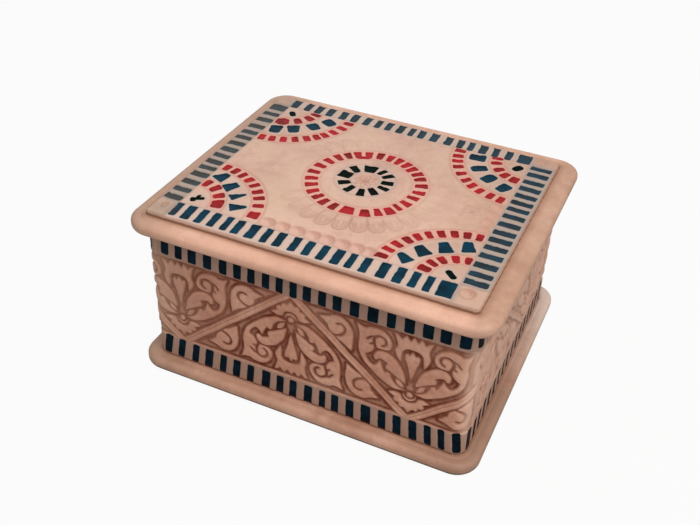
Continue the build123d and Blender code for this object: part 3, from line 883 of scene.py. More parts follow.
def wall_line(s):
    """The walls' outer line, s mm from the middle of the front going right: place and outward
    normal. Four straight runs, each followed by a quarter circle."""
    place = np.zeros(s.shape + (2,))
    normal = np.zeros(s.shape + (2,))
    gone = np.mod(s + straight_x / 2, girth)
    start = 0.0
    for side in range(4):
        turn = side * pi / 2
        along = np.array((cos(turn), sin(turn)))
        out = np.array((sin(turn), -cos(turn)))
        length, reach = ((straight_x, body_depth / 2), (straight_y, body_width / 2))[side % 2]
        here = gone - start
        run = (here >= 0) & (here <= length)
        place[run] = out * reach + along * (here[run][:, None] - length / 2)
        normal[run] = out
        bend = (here > length) & (here < length + bend_length)
        angle = ((here[bend] - length) / body_corner)[:, None]
        normal[bend] = out * np.cos(angle) + along * np.sin(angle)
        centre = out * (reach - body_corner) + along * length / 2
        place[bend] = centre + body_corner * normal[bend]
        start += length + bend_length
    return place, normal


front_half = (straight_x + bend_length) / 2


def stain_strength(s):
    """How strongly the ground is stained: fully on the front, half as strongly on the right wall
    and on to the back's middle, and three quarters as strongly from there round to the front."""
    bend_fade, right_loss, left_loss = 6.0, 0.5, 0.25
    from_front = np.abs(np.mod(s + girth / 2, girth) - girth / 2) - front_half
    right_side = np.mod(s, girth) < girth / 2
    return 1 - step_up(from_front, bend_fade) * np.where(right_side, right_loss, left_loss)


def rubbed_pale(s):
    """How far handling has paled the strip: a bell curve at each of its front bends, and a wider
    one at the left bend."""
    bend_reach, left_reach = 4.0, 14.0
    from_front = np.mod(s + girth / 2, girth) - girth / 2
    bends = np.exp(-((np.abs(from_front) - front_half) / bend_reach) ** 2)
    return np.maximum(bends, np.exp(-((from_front + front_half) / left_reach) ** 2))


rim_round = 0.8
frieze_rows = 168
frieze_top = frieze_foot + frieze_height
face_rows = np.unique(np.concatenate([
    np.linspace(low, high, count) for low, high, count in (
        (wrap_foot, 9.4, 8), (9.4, 17.8, 13), (17.8, frieze_foot, 9),
        (frieze_foot, frieze_top, frieze_rows), (frieze_top, 72.0, 12), (72.0, 79.6, 9),
    )
]))
inner_reach_x = body_width / 2 - side_leather - wall_thickness
inner_reach_y = body_depth / 2 - side_leather - wall_thickness


def wrap_section(s, turned):
    """The strip's section at each s: up its face, over the rim and, where it is turned, in along
    the wall's top, then back and down its inner side. Returns points, distances and face rows."""
    place, normal = wall_line(s)
    top = rim_z if turned else rim_z - turned_leather
    heights = np.concatenate((face_rows, (top - rim_round - 0.6, top - rim_round)))
    grid_s, grid_z = np.meshgrid(s, heights)
    face, carved, dyed = wrap_relief(grid_s, grid_z)
    rows = [level(place + normal * offset[:, None], z) for offset, z in zip(face, heights)]
    last = face[-1]
    for angle in np.radians((30, 60, 90)):
        offset = last * cos(angle) - rim_round * (1 - cos(angle))
        rows.append(level(place + normal * offset[:, None], top - rim_round * (1 - sin(angle))))
    if turned:
        inner = place - normal * (side_leather + wall_thickness)
        inner = np.clip(inner, (-inner_reach_x, -inner_reach_y), (inner_reach_x, inner_reach_y))
        outer = rows[-1][:, :2]
        for share in (0.35, 0.7, 0.97):
            rows.append(level(outer * (1 - share) + inner * share, top))
        rows += [level(inner, z) for z in (top - 0.2, top - turned_leather)]
    back = place - normal * side_leather
    rows += [level(back, z) for z in (rim_z - turned_leather, wrap_foot)]
    return np.array(rows), carved, dyed, len(heights)


def wrap_piece(name, start, end, columns, turned):
    """One length of the strip, from start to end along the walls. Its seams are shaded with the
    normals of the whole strip, so that it reads as one sheet of leather."""
    s = np.linspace(start, end, columns)
    points, carved, dyed, face_count = wrap_section(s, turned)
    row_count = len(points)
    index = np.arange(row_count * columns).reshape(row_count, columns)
    ends = [index[::-1, 0].tolist(), index[:, -1].tolist()]
    piece = skin(name, points, grid_faces(np.vstack((index, index[:1]))) + ends)
    mesh = piece.data
    for attribute, values, hidden in (("carved", carved, 3.0), ("dyed", dyed, -3.0)):
        whole = np.full((row_count, columns), hidden)
        whole[:face_count] = values
        store_at_points(mesh, attribute, whole)
    store_at_points(mesh, "stained", np.tile(stain_strength(s), row_count))
    store_at_points(mesh, "rubbed", np.tile(rubbed_pale(s), row_count))
    mesh.shade_smooth()
    mesh.set_sharp_from_angle(angle=radians(60))
    small = (end - start) / columns
    seam_normals = np.zeros((row_count, columns, 3))
    for column, place in ((0, start), (columns - 1, end)):
        near = wrap_section(np.array((place - small, place, place + small)), turned)[0][:face_count]
        cross = np.cross(near[:, 2] - near[:, 0], np.gradient(near[:, 1], axis=0))
        seam_normals[:face_count, column] = cross / np.linalg.norm(cross, axis=1)[:, None]
    mesh.normals_split_custom_set_from_vertices(seam_normals.reshape(-1, 3).tolist())
    return piece


def ragged(tree, distance, brush, amount):
    """A pattern's distance made uneven: plus an amount times how far the brush is over a half."""
    over = add_node(tree, "Math", {0: brush, 1: 0.5}, operation="SUBTRACT").outputs[0]
    return add_node(tree, "Math", {0: over, 1: amount, 2: distance}, operation="MULTIPLY_ADD").outputs[0]


side_material, tree, shader, coords = start_material("carved_stained_leather", 0.5)
across, along, height = axes(tree, coords)
carved, dyed, stain_wall, rubbed = (
    painted(tree, name) for name in ("carved", "dyed", "stained", "rubbed")
)
brush = noise(tree, coords, 330.0, 3.0)
stain = times(
    tree,
    grade(tree, carved, 0.45, -0.45),  # up to the leaves' edges
    grade(tree, carved, -1.2, -2.4, 1.0, 0.42),  # thinner on open ground
    stain_wall,
    grade(tree, brush, 0.3, 0.7, 0.78, 1.0),
    grade(tree, noise(tree, coords, 55.0), 0.40, 0.62, 1.0, 0.76),
    grade(tree, rubbed, 0.0, 1.0, 1.0, 0.55),
)
plain_band = larger(tree, grade(tree, height, 0.0682, 0.0696), grade(tree, height, 0.0208, 0.0194))
bled = times(tree, grade(tree, dyed, -3.4, -1.9, 0.0, 0.9), plain_band)
dye = grade(tree, ragged(tree, dyed, brush, 0.5), -0.10, 0.12)
blues = ((0.35, (0.0006, 0.006, 0.011)), (0.65, (0.001, 0.017, 0.034)))
ink = laid_over(
    tree, ramp(tree, noise(tree, coords, 190.0), blues),
    (grade(tree, stain_wall, 1.0, 0.8, 0.0, 0.85), (0.004, 0.003, 0.002)),  # black beyond the front
)
side_tints = ((0.555, 0.262, 0.174), (0.65, 0.333, 0.230), (0.73, 0.416, 0.297))
foot_shadow_low, foot_shadow_high = (wrap_foot + 0.15) * mm, (wrap_foot + 1.1) * mm
side_colour = laid_over(
    tree, leather_colour(tree, coords, side_tints, 40.0),
    (times(tree, rubbed, 0.42), (0.93, 0.66, 0.51)),  # handled bends
    (grade(tree, stain_wall, 0.9, 0.5, 0.0, 0.40), (0.74, 0.53, 0.42)),  # painted sheen: the side walls paler, the right one most
    (stain, (0.142, 0.025, 0.008)),
    (grade(tree, across, -0.030, -0.062, 0.0, 0.30), (0.335, 0.165, 0.105)),  # painted shade: darker towards the left
    (bled, (0.395, 0.248, 0.193)),  # dye that ran beside the dashes, its tint darkened as painted shade for the band under the lid
    (dye, ink),
    (grade(tree, height, foot_shadow_high, foot_shadow_low, 0.0, 0.85), (0.10, 0.028, 0.014)),  # painted shadow along the foot, where the walls meet the base
)
lead_into(
    shader, Base_Color=side_colour, Roughness=grade(tree, stain, 0.0, 1.0, 0.46, 0.66),
    Specular_IOR_Level=grade(tree, larger(tree, dye, stain), 0.0, 1.0, 0.26, 0.04),
    Normal=leather_grain(tree, coords, 1700.0),
)

# The strip's lengths lie between these places; the two at the hinges end under their leaves.
back_start = front_half + (straight_y + bend_length)
back_end = back_start + straight_x + bend_length
back_middle = (back_start + back_end) / 2
window_half = hinge_half + leaf_play
wrap_seams = (
    -front_half, front_half, back_start,
    back_middle - hinge_x - window_half, back_middle - hinge_x + window_half,
    back_middle + hinge_x - window_half, back_middle + hinge_x + window_half,
    back_end, girth - front_half,
)
wrap_lengths = (
    ("side_wrap_front", 430, True), ("side_wrap_right", 380, True), ("side_wrap_back_right", 72, True),
    ("side_wrap_right_hinge", 64, False), ("side_wrap_back", 250, True),
    ("side_wrap_left_hinge", 64, False), ("side_wrap_back_left", 72, True), ("side_wrap_left", 380, True),
)
for (name, columns, turned), start, end in zip(wrap_lengths, wrap_seams[:-1], wrap_seams[1:]):
    piece = wrap_piece(name, start, end, columns, turned)
    piece.data.materials.append(side_material)
    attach(piece, "case")
    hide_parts("side_wrap")


# ---------------------------------------------------------------- the tooled panel on the lid
# A rectangle of thicker calf glued on the lid, its rings, fans and borders stamped and dyed by hand.
# The dyed cells are sunk; lines between them are incised and burnished, and the edge is left cut.
panel_top = 90.4
panel_corner = 2.5
panel_step = 0.485
cell_sink = 0.45
groove_width = 0.33
edge_steps = (0.0, 0.08, 0.22, 0.42)
no_dye = -3.0
far_away = 9.0


def panel_lines(low, high):
    """Places of the grid's lines between two edges: evenly spaced, and closer beside the edges."""
    count = int(round((high - low - 1.6) / panel_step))
    middle = np.linspace(low + 0.8, high - 0.8, count)
    return np.concatenate((low + np.array(edge_steps), middle, high - np.array(edge_steps[::-1])))


panel_x = panel_lines(panel_low[0], panel_high[0])
panel_y = panel_lines(panel_low[1], panel_high[1])
flat_x, flat_y = np.meshgrid(panel_x, panel_y)
hand_x = flat_x + 0.4 + 0.5 * wander(flat_x, flat_y)
hand_y = flat_y - 0.58 + 0.5 * wander(flat_y + 20, flat_x)
dyes = {name: np.full(flat_x.shape, no_dye) for name in ("blue", "red", "black")}
grooves = np.zeros(flat_x.shape)


def window_round(centre, reach):
    """The part of the panel's grid within reach of a centre, and its hand-drawn places in mm."""
    columns = slice(*np.searchsorted(panel_x, (centre[0] - reach, centre[0] + reach)))
    rows = slice(*np.searchsorted(panel_y, (centre[1] - reach, centre[1] + reach)))
    part = (rows, columns)
    return part, hand_x[part], hand_y[part]


def rounded(edges, corner):
    """Distance inside a cell from the distances to its edges: its corners are arcs, since what
    each edge lacks of the corner's radius is summed in squares."""
    lack = np.maximum(corner - np.array(edges), 0)
    return corner - np.sqrt((lack ** 2).sum(axis=0))


def stamp_cell(dye, centre, half_width, half_height, turn, taper=0.0, corner=0.5):
    """A four-sided cell whose height points along turn, in degrees; taper widens its far end."""
    part, x, y = window_round(centre, half_width + half_height + 3)
    across = (y - centre[1]) * cos(radians(turn)) - (x - centre[0]) * sin(radians(turn))
    along = (x - centre[0]) * cos(radians(turn)) + (y - centre[1]) * sin(radians(turn))
    half = half_width * (1 + taper * along / half_height)
    cell = rounded((half - across, half + across, half_height - along, half_height + along), corner)
    dyes[dye][part] = np.maximum(dyes[dye][part], cell)


def polar(x, y, centre, stretch=(1.0, 1.0)):
    """Radius and angle in degrees of places about a centre, on a circle drawn out by stretch."""
    across, up = (x - centre[0]) / stretch[0], (y - centre[1]) / stretch[1]
    return np.hypot(across, up), np.degrees(np.arctan2(up, across))


def stamp_sector(dye, centre, inner, outer, base, tip, corner=0.5, stretch=(1.0, 1.0)):
    """A cell of a ring or fan between two radii: base and tip are its first and last angles, in
    degrees, at the inner and the outer radius."""
    part, x, y = window_round(centre, outer * max(stretch) + 3)
    middle = (base[0] + base[1]) / 2
    radius, angle = polar(x, y, centre, stretch)
    angle = middle + np.mod(angle - middle + 180, 360) - 180
    rise = (radius - inner) / (outer - inner)
    first = base[0] + (tip[0] - base[0]) * rise
    last = base[1] + (tip[1] - base[1]) * rise
    sides = (np.radians(angle - first) * radius, np.radians(last - angle) * radius)
    cell = rounded((*sides, radius - inner, outer - radius), corner)
    dyes[dye][part] = np.maximum(dyes[dye][part], np.where(np.abs(angle - middle) < 60, cell, no_dye))


def incise(part, distance, depth, width=groove_width):
    """Presses a line into the panel: a rounded groove, deepest where the distance is nought."""
    grooves[part] = np.maximum(grooves[part], depth * np.exp(-0.5 * (distance / width) ** 2))


# The border: four rows of dashes, each dash as (place, width), a little out of square.
border_left, border_right, border_front, border_back = -71.5, 66.5, -53.0, 57.2
front_dashes = (
    (-69.5, 3.2), (-62.8, 4.3), (-55.8, 3.4), (-49.4, 3.4), (-42.7, 3.2), (-36.7, 3.6), (-29.4, 4.2),
    (-22.3, 3.3), (-15.6, 3.6), (-8.2, 3.4), (-1.4, 3.6), (5.8, 3.4), (12.6, 4.0), (19.1, 3.2), (25.9, 3.4),
    (34.0, 4.2), (41.6, 4.2), (48.3, 3.2), (54.6, 3.2), (62.6, 7.0),
)
back_dashes = (
    (-69.6, 4.1), (-61.9, 3.7), (-55.2, 3.9), (-48.4, 3.7), (-40.5, 4.0), (-33.5, 3.9), (-26.3, 3.4),
    (-19.6, 3.2), (-13.4, 3.4), (-6.7, 3.6), (-0.3, 3.0), (5.6, 3.6), (12.7, 4.0), (20.6, 3.9), (27.4, 3.4),
    (33.2, 2.9), (39.8, 4.1), (46.8, 3.2), (53.7, 3.3), (62.1, 7.0),
)
left_dashes = (
    (53.2, 6.3), (44.6, 3.6), (36.9, 4.1), (28.5, 4.0), (21.0, 3.9), (14.5, 3.5), (7.4, 3.9), (-0.1, 4.4),
    (-7.4, 3.4), (-14.3, 3.9), (-20.9, 3.6), (-27.9, 4.1), (-35.8, 4.0), (-43.5, 3.5), (-50.6, 3.7),
)
right_dashes = (
    (54.9, 3.8), (48.2, 3.9), (40.6, 3.7), (33.6, 4.1), (26.5, 3.6), (19.7, 3.7), (13.1, 3.5), (6.3, 3.6),
    (-1.2, 4.0), (-8.8, 3.8), (-15.2, 3.8), (-21.9, 3.8), (-28.9, 3.7), (-36.3, 3.9), (-43.4, 3.5),
    (-49.6, 3.6),
)
for place, width in front_dashes:
    lean = -4.0 if place < 0 else -2.5
    stamp_cell("blue", (place, -58.9), width / 2, 5.6, 90 - lean)
for place, width in back_dashes:
    stamp_cell("blue", (place, 62.1), width / 2, 4.7, 92 + chance.uniform(-1.5, 1.5), 0.0, 0.9)
for place, width in left_dashes:
    stamp_cell("blue", (-76.7, place), width / 2, 4.75, chance.uniform(-2, 2), 0.0, 0.8)
for place, width in right_dashes:
    stamp_cell("blue", (72.5, place), width / 2, 5.2, chance.uniform(-3, 0))

# Two rings, of red cells and of green-black ones inside them; a few cells are wide or set askew.
# The dark cells are (centre, half width, half height, taper).
red_ring_centre = (-1.3, 3.0)
ring_places = (
    -175, -161.5, -149, -136, -124.3, -113, -100.5, -84.8, -67.4, -54.5, -42.4, -31.4, -19.8, -6, 6.4,
    19.8, 32.9, 43.6, 54.8, 64.8, 75.5, 86.4, 98.1, 110, 122.1, 132.9, 144.5, 157.6, 171.2,
)
wide_cells = {-84.8: 13.2, -67.4: 9.4, -42.4: 9.0, -31.4: 4.8}
for place in ring_places:
    half = wide_cells.get(place, 7.0) / 2
    pull = -1.1 if -33 < place < -5 else chance.uniform(-0.3, 0.3)
    base = (place - half * 0.9, place + half * 0.9)
    tip = (place - half * 1.08, place + half * 1.08)
    stamp_sector("red", red_ring_centre, 23.9 + pull, 30.0 + pull, base, tip)
stamp_sector("red", red_ring_centre, 23.2, 25.4, (109, 123), (109, 123))
dark_ring_centre = (-2.5, 4.6)
dark_cells = (
    ((-4.3, 15.6), 3.1, 3.0, 0.22), ((2.2, 15.5), 1.35, 2.9, 0.1), ((6.3, 12.9), 1.45, 3.0, 0.1),
    ((8.3, 7.1), 1.7, 2.9, 0.1), ((8.3, 1.9), 1.4, 2.9, 0.1), ((5.0, -3.1), 1.9, 3.4, 0.15),
    ((0.1, -6.4), 1.7, 3.2, 0.25), ((-6.2, -5.7), 1.6, 3.2, 0.1), ((-10.8, -1.6), 1.8, 3.0, 0.1),
    ((-13.3, 5.6), 3.1, 3.1, 0.1), ((-11.2, 12.2), 1.8, 3.1, 0.15),
)
for centre, half_width, half_height, taper in dark_cells:
    turn = np.degrees(np.arctan2(centre[1] - dark_ring_centre[1], centre[0] - dark_ring_centre[0]))
    stamp_cell("black", centre, half_width, half_height, turn, taper)
for centre, radii in ((red_ring_centre, (22.6, 31.3)), (dark_ring_centre, (7.2, 15.2))):
    part, x, y = window_round(centre, radii[-1] + 2)
    for radius in radii:
        incise(part, np.hypot(x - centre[0], y - centre[1]) - radius, 0.2)


def flower_stamp(centre, petal_count, reach, depth, worn=0.0):
    """A ring of petals pressed as outlines, each an oval across the spoke that it lies on, round a
    punched middle. Worn metal leaves gaps: the depth wavers with the place."""
    part, x, y = window_round(centre, 2 * reach)
    radius, angle = polar(x, y, centre)
    pitch = 360 / petal_count
    off_axis = np.radians(np.mod(angle + pitch / 2, pitch) - pitch / 2) * radius
    petal = np.hypot(off_axis * petal_count / 3.8, radius - reach)
    left = depth * np.clip(1 - worn * (0.5 + 2.5 * wander(4 * x, 5 * y)), 0, 1)
    incise(part, np.where(radius < 1.95 * reach, petal - 0.61 * reach, far_away), left, 0.28)
    incise(part, radius - 0.2, 1.8 * left, 0.75)


flower_stamp((-1.9, 3.9), 8, 3.6, 0.42)
flower_stamp((52.6, 1.0), 6, 3.5, 0.24, 0.8)

# A quarter fan in each corner: red cells, blue thorns, red cells, and a dark leaf at its root.
# Cells are angles in degrees; thorns and leaves are (x, y, half width, half length, turn, taper).
fans = (
    {
        "centre": (-71.5, -52.5), "outer": (33.8, 39.2), "inner": (14.9, 20.6),
        "outer_stretch": (1.0, 1.0), "inner_stretch": (0.97, 1.10),
        "outer_cells": (8.1, 20.6, 31.2, 40.1, 49.9, 58.7, 67.3, 76.0, 84.5), "first_half": 4.2,
        "inner_cells": ((6.5, 26.5), (32, 44.5), (54, 66.5), (75.5, 86.5)),
        "thorns": (
            (-65.5, -24.7, 2.55, 3.6, -115, 0.41), (-57.2, -30.5, 2.5, 3.5, -123, 0.22),
            (-50.0, -36.3, 1.4, 3.7, -133, 0.64), (-45.1, -45.0, 1.7, 3.7, -150, 0.60),
        ),
        "thorn_corner": 0.6,
        "leaves": (
            (-67.3, -48.6, 1.2, 1.9, -60, 0.0), (-65.0, -46.8, 1.1, 2.4, 25, 0.0),
            (-66.3, -45.3, 0.8, 1.4, 80, 0.0),
        ),
    },
    {
        "centre": (66.5, -52.5), "outer": (33.3, 38.8), "inner": (14.1, 19.5),
        "outer_stretch": (1.037, 1.0), "inner_stretch": (1.037, 1.0),
        "outer_cells": (94.6, 103.6, 112.4, 121.5, 130.4, 139.2, 147.5, 156.8, 166.0, 174.9),
        "inner_cells": ((91.8, 101.4), (109.5, 120.5), (129.5, 140.5), (147, 157.4), (163.8, 177)),
        "thorns": (
            (61.2, -26.1, 2.4, 3.7, -69, 0.26), (51.9, -31.0, 2.5, 3.8, -58, 0.24),
            (43.6, -37.8, 2.55, 3.8, -43, 0.25), (38.5, -46.3, 2.15, 3.6, -38, 0.35),
        ),
        "thorn_corner": 0.6,
        "leaves": ((61.0, -48.7, 1.4, 3.3, -40, 0.0),),
    },
    {
        "centre": (66.5, 57.0), "outer": (34.2, 39.6), "inner": (14.3, 19.9),
        "outer_stretch": (1.0, 1.055), "inner_stretch": (1.0, 1.05),
        "outer_cells": (183.0, 191.3, 199.1, 207.7, 218.1, 227.8, 236.3, 245.1, 254.6, 263.4),
        "inner_cells": ((178.5, 187.5), (193, 203), (213, 225), (232, 245), (251, 266)),
        "thorns": (
            (39.8, 52.2, 2.9, 4.1, 188, -0.12), (44.0, 42.1, 2.4, 3.9, 213, 0.0),
            (51.3, 34.8, 2.6, 3.8, 243, 0.0), (60.3, 29.7, 2.6, 3.7, 241, -0.12),
        ),
        "thorn_corner": 1.5,
        "leaves": ((61.4, 51.2, 2.2, 3.1, 60, 0.0),),
    },
    {
        "centre": (-71.5, 57.0), "outer": (34.7, 40.3), "inner": (14.3, 20.3),
        "outer_stretch": (1.0, 1.0), "inner_stretch": (1.0, 1.0),
        "outer_cells": (-85.3, -76.8, -67.4, -58.0, -48.7, -40.5, -33.2, -24.3, -14.1, -4.6),
        "inner_cells": ((-87, -64), (-54.5, -41), (-31.5, -18.5), (-12, -2)),
        "thorns": (
            (-66.3, 30.7, 2.8, 3.8, -79, -0.12), (-57.8, 35.1, 2.9, 4.0, -62, -0.15),
            (-49.5, 42.4, 2.8, 3.5, -40, -0.08), (-44.0, 50.3, 2.7, 3.6, -30, -0.08),
        ),
        "thorn_corner": 1.5,
        "leaves": ((-66.3, 50.2, 1.5, 2.8, -55, 0.0),),
    },
)
thorn_spread, thorn_stretch = 0.25, 0.2
for fan in fans:
    centre = fan["centre"]
    for number, place in enumerate(fan["outer_cells"]):
        by_hand = number == 0 and "first_half" in fan
        half = fan["first_half"] if by_hand else chance.uniform(2.35, 2.75)
        span = (place - half, place + half)
        stamp_sector("red", centre, *fan["outer"], span, span, 0.7, fan["outer_stretch"])
    for span in fan["inner_cells"]:
        stamp_sector("red", centre, *fan["inner"], span, span, 1.0, fan["inner_stretch"])
    for x, y, half_width, half_length, turn, taper in fan["thorns"]:
        half_width, half_length = half_width + thorn_spread, half_length + thorn_stretch
        stamp_cell("blue", (x, y), half_width, half_length, turn, taper, fan["thorn_corner"])
    for x, y, half_width, half_length, turn, taper in fan["leaves"]:
        stamp_cell("black", (x, y), half_width, half_length, turn, taper, half_width - 0.1)
    part, x, y = window_round(centre, 44)
    within = (x > border_left) & (x < border_right) & (y > border_front) & (y < border_back)
    inner_radius, angle = polar(x, y, centre, fan["inner_stretch"])
    outer_radius, angle = polar(x, y, centre, fan["outer_stretch"])
    for radius, line in (
        (inner_radius, fan["inner"][0] - 0.9), (inner_radius, fan["inner"][1] + 1.0),
        (outer_radius, fan["outer"][0] - 1.0), (outer_radius, fan["outer"][1] + 1.2),
    ):
        incise(part, np.where(within, radius - line, far_away), 0.27)
stamp_sector("red", (-71.5, 57.0), 13.4, 21.0, (-83, -67), (-84, -66), 2.2)

# Incised lines inside the border, with shell stamps along them and in the border's corners.
everywhere = (slice(None), slice(None))
for line in (border_left, border_right):
    incise(everywhere, hand_x - line, 0.2)
for line in (border_front, border_back):
    incise(everywhere, hand_y - line, 0.2)
browned = np.zeros(flat_x.shape)


def shell_stamp(centre, reach, depth, brown=0.0):
    """A round stamp pressed deeper towards its right and back: crescents, each fading with the
    cosine of the angle from that direction. A hot stamp browns the leather under it."""
    deepest_angle = 50
    part, x, y = window_round(centre, reach + 2)
    radius, angle = polar(x, y, centre)
    browned[part] = np.maximum(browned[part], brown * step_up(reach - radius, 1.0))
    facing = np.clip(0.3 + 0.7 * np.cos(np.radians(angle - deepest_angle)), 0, 1)
    incise(part, radius - 0.82 * reach, depth * facing, 0.15 * reach)
    incise(part, radius - reach, 0.5 * depth, 0.25)
    incise(part, radius - 0.42 * reach, 0.8 * depth * facing, 0.08 * reach)


shell_pitch = 7.2
shell_reach = 3.4
for place in (-27.2, -19.5, -11.9, -4.3, 3.0, 10.4, 17.5, 23.3):
    shell_stamp((place, border_front + 3.2), 3.75, 0.60, 0.75)
for number in range(8):
    shell_stamp((-27.0 + shell_pitch * number, border_back - 3.2), shell_reach, 0.18)
for number in range(5):
    shell_stamp((border_left + 3.4, -12.4 + shell_pitch * number), shell_reach, 0.15)
for number in range(4):
    shell_stamp((border_right - 3.4, -11.0 + shell_pitch * number), shell_reach, 0.24, 0.42)
shell_stamp((71.4, -57.9), 3.5, 0.60, 0.3)
part, x, y = window_round((-76.2, -58.6), 5)
radius, angle = polar(x, y, (-76.2, -58.6), (0.75, 1.3))
incise(part, radius - 1.5, 0.34, 0.55)
shell_stamp((71.8, 62.0), 2.8, 0.18)
shell_stamp((-76.6, 62.0), 2.8, 0.18)

# Long petals round the red ring, pressed as an outline and two lines inside it; they fade where
# they meet the fans and the shells, and are worn away but for the front and the back left.
petal_count = 29
petal_start = 0.258
petal_inner, petal_outer, petal_half = 31.5, 43.4, 3.6
part, x, y = window_round(red_ring_centre, petal_outer + 2)
radius, angle = polar(x, y, red_ring_centre)
turn = 2 * pi / petal_count
off_axis = (np.mod(np.radians(angle) / turn + petal_start, 1) - 0.5) * turn * radius
tip_radius = petal_outer - petal_half
petal = np.where(radius > tip_radius, np.hypot(off_axis, radius - tip_radius), np.abs(off_axis))
clear = np.ones(x.shape)
for fan in fans:
    clear *= step_up(polar(x, y, fan["centre"], fan["outer_stretch"])[0] - fan["outer"][1] - 3.0, 1.0)
clear *= step_up(radius - petal_inner, 1.0) * step_up(y - border_front - 7.6, 1.0)
lower = np.exp(-((np.mod(angle + 260, 360) - 180) / 48) ** 2)
upper_left = np.exp(-((np.mod(angle + 44, 360) - 180) / 26) ** 2)
clear *= 0.10 + 0.90 * lower + 0.40 * upper_left
incise(part, petal - petal_half + 0.5 * wander(2 * y, x), 0.45 * clear, 0.28)
for share in (0.66, 0.33):
    stroke = petal - share * petal_half + 0.3 * wander(3 * x, y)
    incise(part, np.where(radius > petal_inner + 4.5, stroke, far_away), 0.33 * clear, 0.24)

# Dye that bled into the damp leather: cold beside the blue and black cells, warm beside the red.
dyed = np.maximum.reduce(list(dyes.values()))
beside = (hand_x < border_left) | (hand_x > border_right)
behind = hand_y > border_back
before = hand_y < border_front
cold_reach, warm_reach = 2.7, 2.2
cold = np.clip(1 + np.maximum(dyes["blue"], dyes["black"]) / cold_reach, 0, 1)
cold = cold ** 0.7 * np.where(beside, 0.95, np.where(behind, 0.8, np.where(before, 0.7, 0.5)))
warm = np.maximum(0.75 * np.clip(1 + dyes["red"] / warm_reach, 0, 1), 0.5 * browned)
cold_tint = np.where(beside[..., None], (0.37, 0.335, 0.31), (0.53, 0.445, 0.40))
bled_tint = (cold[..., None] * cold_tint + warm[..., None] * np.array((0.76, 0.335, 0.27)))
bled_tint /= np.maximum(cold + warm, 1e-6)[..., None]
bled = np.concatenate((bled_tint, np.maximum(cold, warm)[..., None]), axis=-1)

# The panel's relief, how far it lies under its top, and its outline with round, ragged edges.
edge_distance = np.minimum.reduce((
    flat_x - panel_low[0], panel_high[0] - flat_x, flat_y - panel_low[1], panel_high[1] - flat_y
))
edge_round_off = 0.45
slow_wave = 0.08
fall = np.clip(1 - edge_distance / edge_round_off, 0, 1)
relief = (
    cell_sink * step_up(dyed, 0.6) + grooves * (dyed < 0.2) + 0.09 * np.exp(-np.maximum(-dyed, 0) / 0.9)
    + edge_round_off * (1 - np.sqrt(1 - fall ** 2))
    + slow_wave + slow_wave * np.sin(flat_x / 13 + 2) * np.sin(flat_y / 11)
)
middle = (np.array(panel_low) + np.array(panel_high)) / 2
half_size = (np.array(panel_high) - np.array(panel_low)) / 2
from_middle = np.stack((flat_x, flat_y), axis=-1) - middle
past_corner = np.maximum(np.abs(from_middle) - half_size + panel_corner, 0)
pull_in = past_corner.max(axis=-1) / np.maximum(np.linalg.norm(past_corner, axis=-1), 1e-9)
both = (past_corner.min(axis=-1) > 0)[..., None]
pulled = half_size - panel_corner + past_corner * pull_in[..., None]
placed = np.where(both, np.sign(from_middle) * pulled, from_middle)
near_edge = np.clip(1 - edge_distance / 3.0, 0, 1)[..., None]
uneven_cut = np.stack((wander(flat_y * 1.7, flat_x), wander(flat_x * 1.7, flat_y)), axis=-1)
placed = placed - near_edge * np.sign(from_middle) * (0.2 + 0.6 * np.abs(uneven_cut)) + middle


def sheet_piece(name, surface, thin_axis, back):
    """A sheet: a grid of points in mm for its worked face, walls, and a flat back at a height
    along its thin axis. The rim's points are repeated at the end, on the back."""
    points = surface.reshape(-1, 3)
    index = np.arange(len(points)).reshape(surface.shape[:2])
    rim = np.concatenate((index[0, :-1], index[:-1, -1], index[-1, :0:-1], index[:0:-1, 0]))
    behind = points[rim]
    behind[:, thin_axis] = back
    foot = len(points) + np.arange(len(rim))
    walls = np.stack((rim, foot, np.roll(foot, -1), np.roll(rim, -1)), axis=-1).tolist()
    faces = grid_faces(index) + walls + [foot[::-1].tolist()]
    return skin(name, np.concatenate((points, behind)), faces)


lid_panel = sheet_piece(
    "lid_panel", np.concatenate((placed, (panel_top - relief)[..., None]), axis=-1), 2, lid_top
)
panel_mesh = lid_panel.data
panel_mesh.shade_smooth()
panel_mesh.set_sharp_from_angle(angle=radians(60))
rim_count = len(panel_mesh.vertices) - flat_x.size
# Painted light towards the left, right and back borders: a brown-grey veil, a painted sheen on the dyed
# cells and painted shade on the leather; and painted shade at the front-left corner.
border_veil_and_shade = 0.28 * step_up(border_left - hand_x, 2.0) + 0.10 * step_up(hand_x - border_right, 2.0)
border_veil_and_shade = np.maximum(border_veil_and_shade, 0.10 * step_up(hand_y - border_back, 2.0))
border_veil_and_shade += 0.25 * np.exp(-((hand_x + 77) / 7) ** 2 - ((hand_y + 62) / 6) ** 2)
# Painted shade: a dark band inside the panel's front edge and a narrower one inside its right edge.
edge_shade_band = 0.62 * step_up(1.9 - (flat_y - panel_low[1]) + wander(flat_x, 9.0), 1.4)
edge_shade_band = np.maximum(edge_shade_band, 0.5 * step_up(1.0 - (panel_high[0] - flat_x), 1.0))
for name, values, on_back in (
    *((name, cells, no_dye) for name, cells in dyes.items()),
    ("tooled", np.minimum(grooves / 0.36, 1), 0.0), ("border_veil_and_shade", border_veil_and_shade, 0.0),
    ("seat_shade_and_cut_edge", np.maximum(fall, edge_shade_band), 1.0),
):
    store_at_points(panel_mesh, name, np.append(values, np.full(rim_count, on_back)))
layer = panel_mesh.attributes.new("bled", "FLOAT_COLOR", "POINT")
layer.data.foreach_set("color", np.append(bled, np.zeros(4 * rim_count)))

